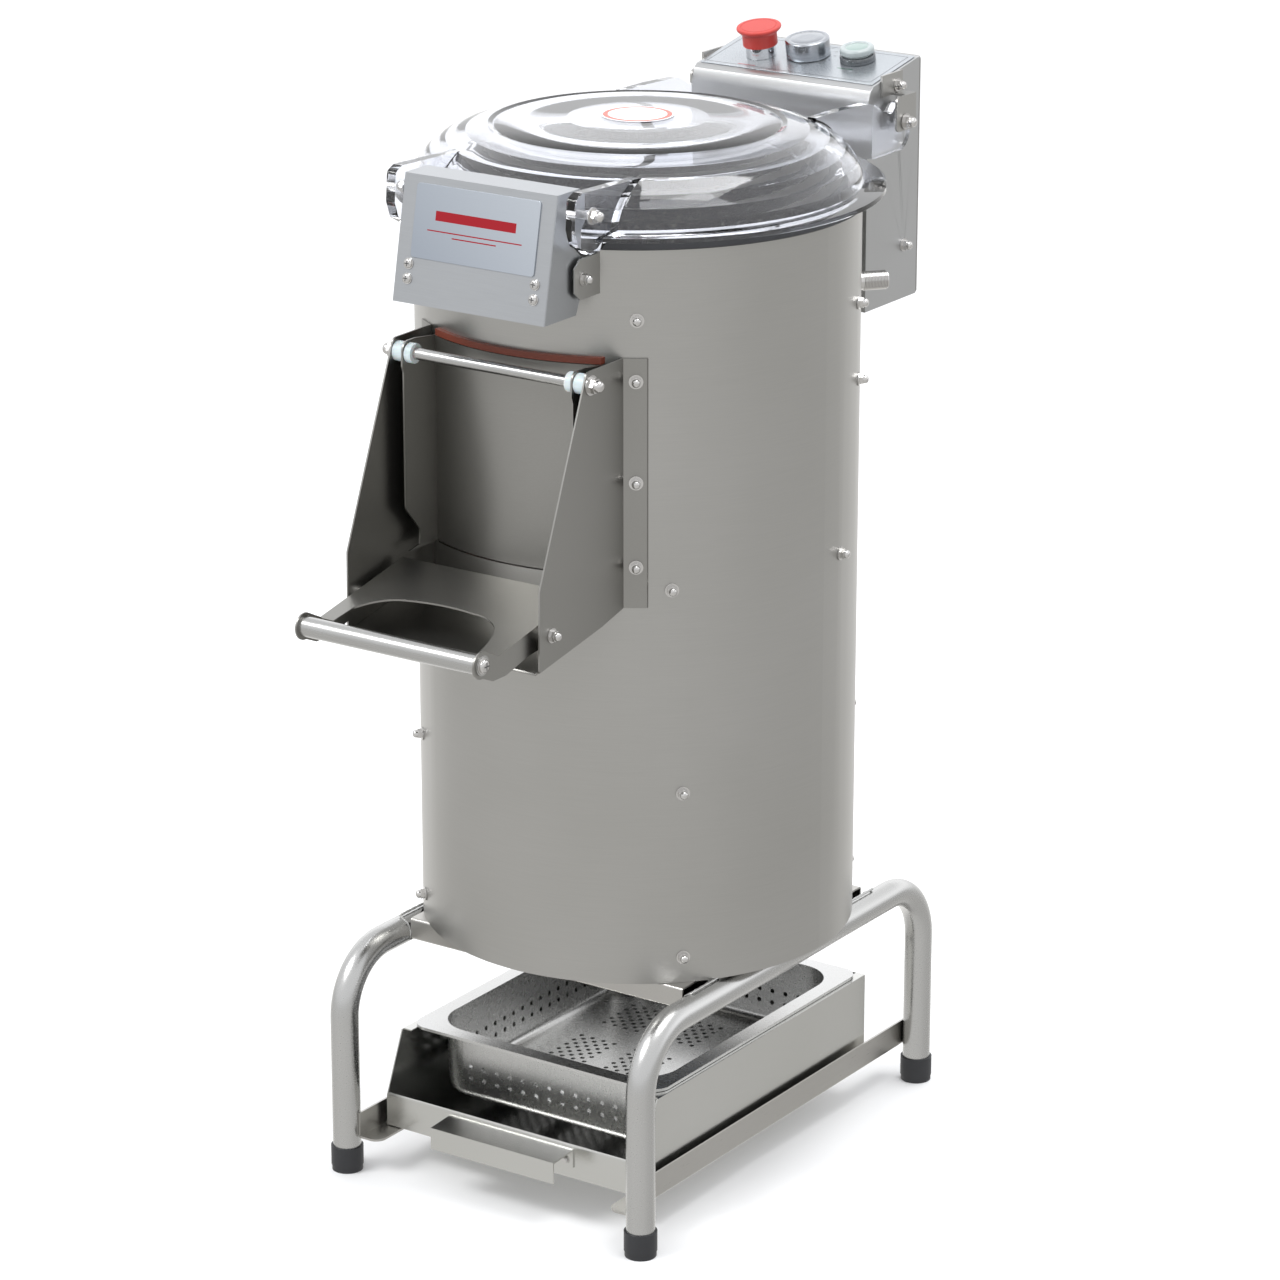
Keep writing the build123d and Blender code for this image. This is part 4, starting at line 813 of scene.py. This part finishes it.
# Brightness by compass angle in degrees, 0 towards -Y, for what steel sees low down.
SKY = (
    (-180, 1.15), (-146, 1.55), (-114, 1.30), (-86, 0.95), (-26, 1.02), (20, 1.0),
    (64, 0.95), (94, 0.86), (124, 0.82), (149, 0.80), (168, 0.95), (180, 1.15),
)
SKY_TOP = 1.6
SKY_STRENGTH = SKY_TOP * 0.80
UPPER_SKY = 0.80
BACK_BAND = 0.55
LOW_TINT = (1.0, 0.99, 0.97, 1)
HIGH_TINT = (1.0, 1.015, 1.035, 1)
UPPER_COLOUR = (UPPER_SKY, UPPER_SKY * 1.005, UPPER_SKY * 1.02, 1)
# Heights are sines of the elevation angle.
TINT_RISE = (-0.35, 0.45)
UPPER_RISE = (-0.02, 0.12)
BAND_RISE = (0.02, 0.26)
BAND_FALL = (0.34, 0.72)
BAND_BEHIND = (0.10, 0.55)


def maths(tree, operation, first, second):
    """One maths node; the second value may be a number."""
    made = tree.nodes.new("ShaderNodeMath")
    made.operation = operation
    tree.links.new(first, made.inputs[0])
    if isinstance(second, bpy.types.NodeSocket):
        tree.links.new(second, made.inputs[1])
    else:
        made.inputs[1].default_value = second
    return made.outputs[0]


def ranged(tree, value, span, to_low, to_high):
    """Value mapped from a span to another one, clamped."""
    made = tree.nodes.new("ShaderNodeMapRange")
    for socket, number in (("From Min", span[0]), ("From Max", span[1]), ("To Min", to_low),
                           ("To Max", to_high)):
        made.inputs[socket].default_value = number
    tree.links.new(value, made.inputs[0])
    return made.outputs[0]


def blended(tree, factor, low, high, mode="MIX"):
    """Mix of two colours; each may be a socket or a plain colour."""
    made = tree.nodes.new("ShaderNodeMix")
    made.data_type = "RGBA"
    made.blend_type = mode
    for socket, value in ((made.inputs[0], factor), (made.inputs[6], low),
                          (made.inputs[7], high)):
        if isinstance(value, bpy.types.NodeSocket):
            tree.links.new(value, socket)
        else:
            socket.default_value = value
    return made.outputs[2]


def compass_grey(tree, x, y):
    """Brightness of the sky by compass direction."""
    turn = maths(tree, "ARCTAN2", x, maths(tree, "MULTIPLY", y, -1.0))
    ramp = tree.nodes.new("ShaderNodeValToRGB")
    points = ramp.color_ramp.elements
    while len(points) < len(SKY):
        points.new(0.5)
    for point, (angle, grey) in zip(points, SKY):
        level = grey / SKY_TOP
        point.position = (angle + 180) / 360
        point.color = (level, level, level, 1)
    tree.links.new(ranged(tree, turn, (-math.pi, math.pi), 0.0, 1.0), ramp.inputs[0])
    return ramp.outputs[0]


def back_band(tree, y, z):
    """Extra brightness of a soft band low in the back of the sky."""
    low_edge = ranged(tree, z, BAND_RISE, 0.0, BACK_BAND)
    high_edge = ranged(tree, z, BAND_FALL, 1.0, 0.0)
    behind = ranged(tree, y, BAND_BEHIND, 0.0, 1.0)
    return maths(tree, "MULTIPLY", maths(tree, "MULTIPLY", low_edge, high_edge), behind)


def soft_sky():
    """Round studio: brightness follows the compass low down and is even higher up."""
    world = bpy.data.worlds.new("studio")
    scene.world = world
    world.use_nodes = True
    tree = world.node_tree
    coord = tree.nodes.new("ShaderNodeTexCoord")
    parts = tree.nodes.new("ShaderNodeSeparateXYZ")
    tree.links.new(coord.outputs["Generated"], parts.inputs[0])
    x, y, z = parts.outputs
    tint = blended(tree, ranged(tree, z, TINT_RISE, 0.0, 1.0), LOW_TINT, HIGH_TINT)
    lower = blended(tree, 1.0, compass_grey(tree, x, y), tint, "MULTIPLY")
    colour = blended(tree, ranged(tree, z, UPPER_RISE, 0.0, 1.0), lower, UPPER_COLOUR)
    level = maths(tree, "MULTIPLY", maths(tree, "ADD", back_band(tree, y, z), 1.0),
                  SKY_STRENGTH)
    glow = tree.nodes["Background"]
    tree.links.new(colour, glow.inputs["Color"])
    tree.links.new(level, glow.inputs["Strength"])


def soft_box(name, place, aim, size, power):
    """Large square lamp pointed at a spot."""
    lamp = bpy.data.lights.new(name, "AREA")
    lamp.shape = "RECTANGLE"
    lamp.size, lamp.size_y = size
    lamp.energy = power
    holder = bpy.data.objects.new(name, lamp)
    scene.collection.objects.link(holder)
    holder.location = place
    holder.rotation_euler = (Vector(aim) - Vector(place)).to_track_quat("-Z", "Y").to_euler()


pale_floor()
soft_sky()
soft_box("key", (-1.6, -2.4, 3.4), (0, 0, 0.5), (1.8, 1.2), 75)
soft_box("top", (0.6, 0.4, 3.6), (0, 0, 0.5), (2.2, 1.4), 60)
nodes["lid_dome"].visible_shadow = False

camera_data = bpy.data.cameras.new("camera")
camera_data.lens = 135.49
camera_data.sensor_width = 36.0
camera = bpy.data.objects.new("camera", camera_data)
scene.collection.objects.link(camera)
camera.location = (2.23886, -3.28894, 1.78506)
camera.rotation_euler = (math.pi / 2 - 0.32210, 0.0, 0.59717)
camera_data.clip_end = 200.0
scene.camera = camera
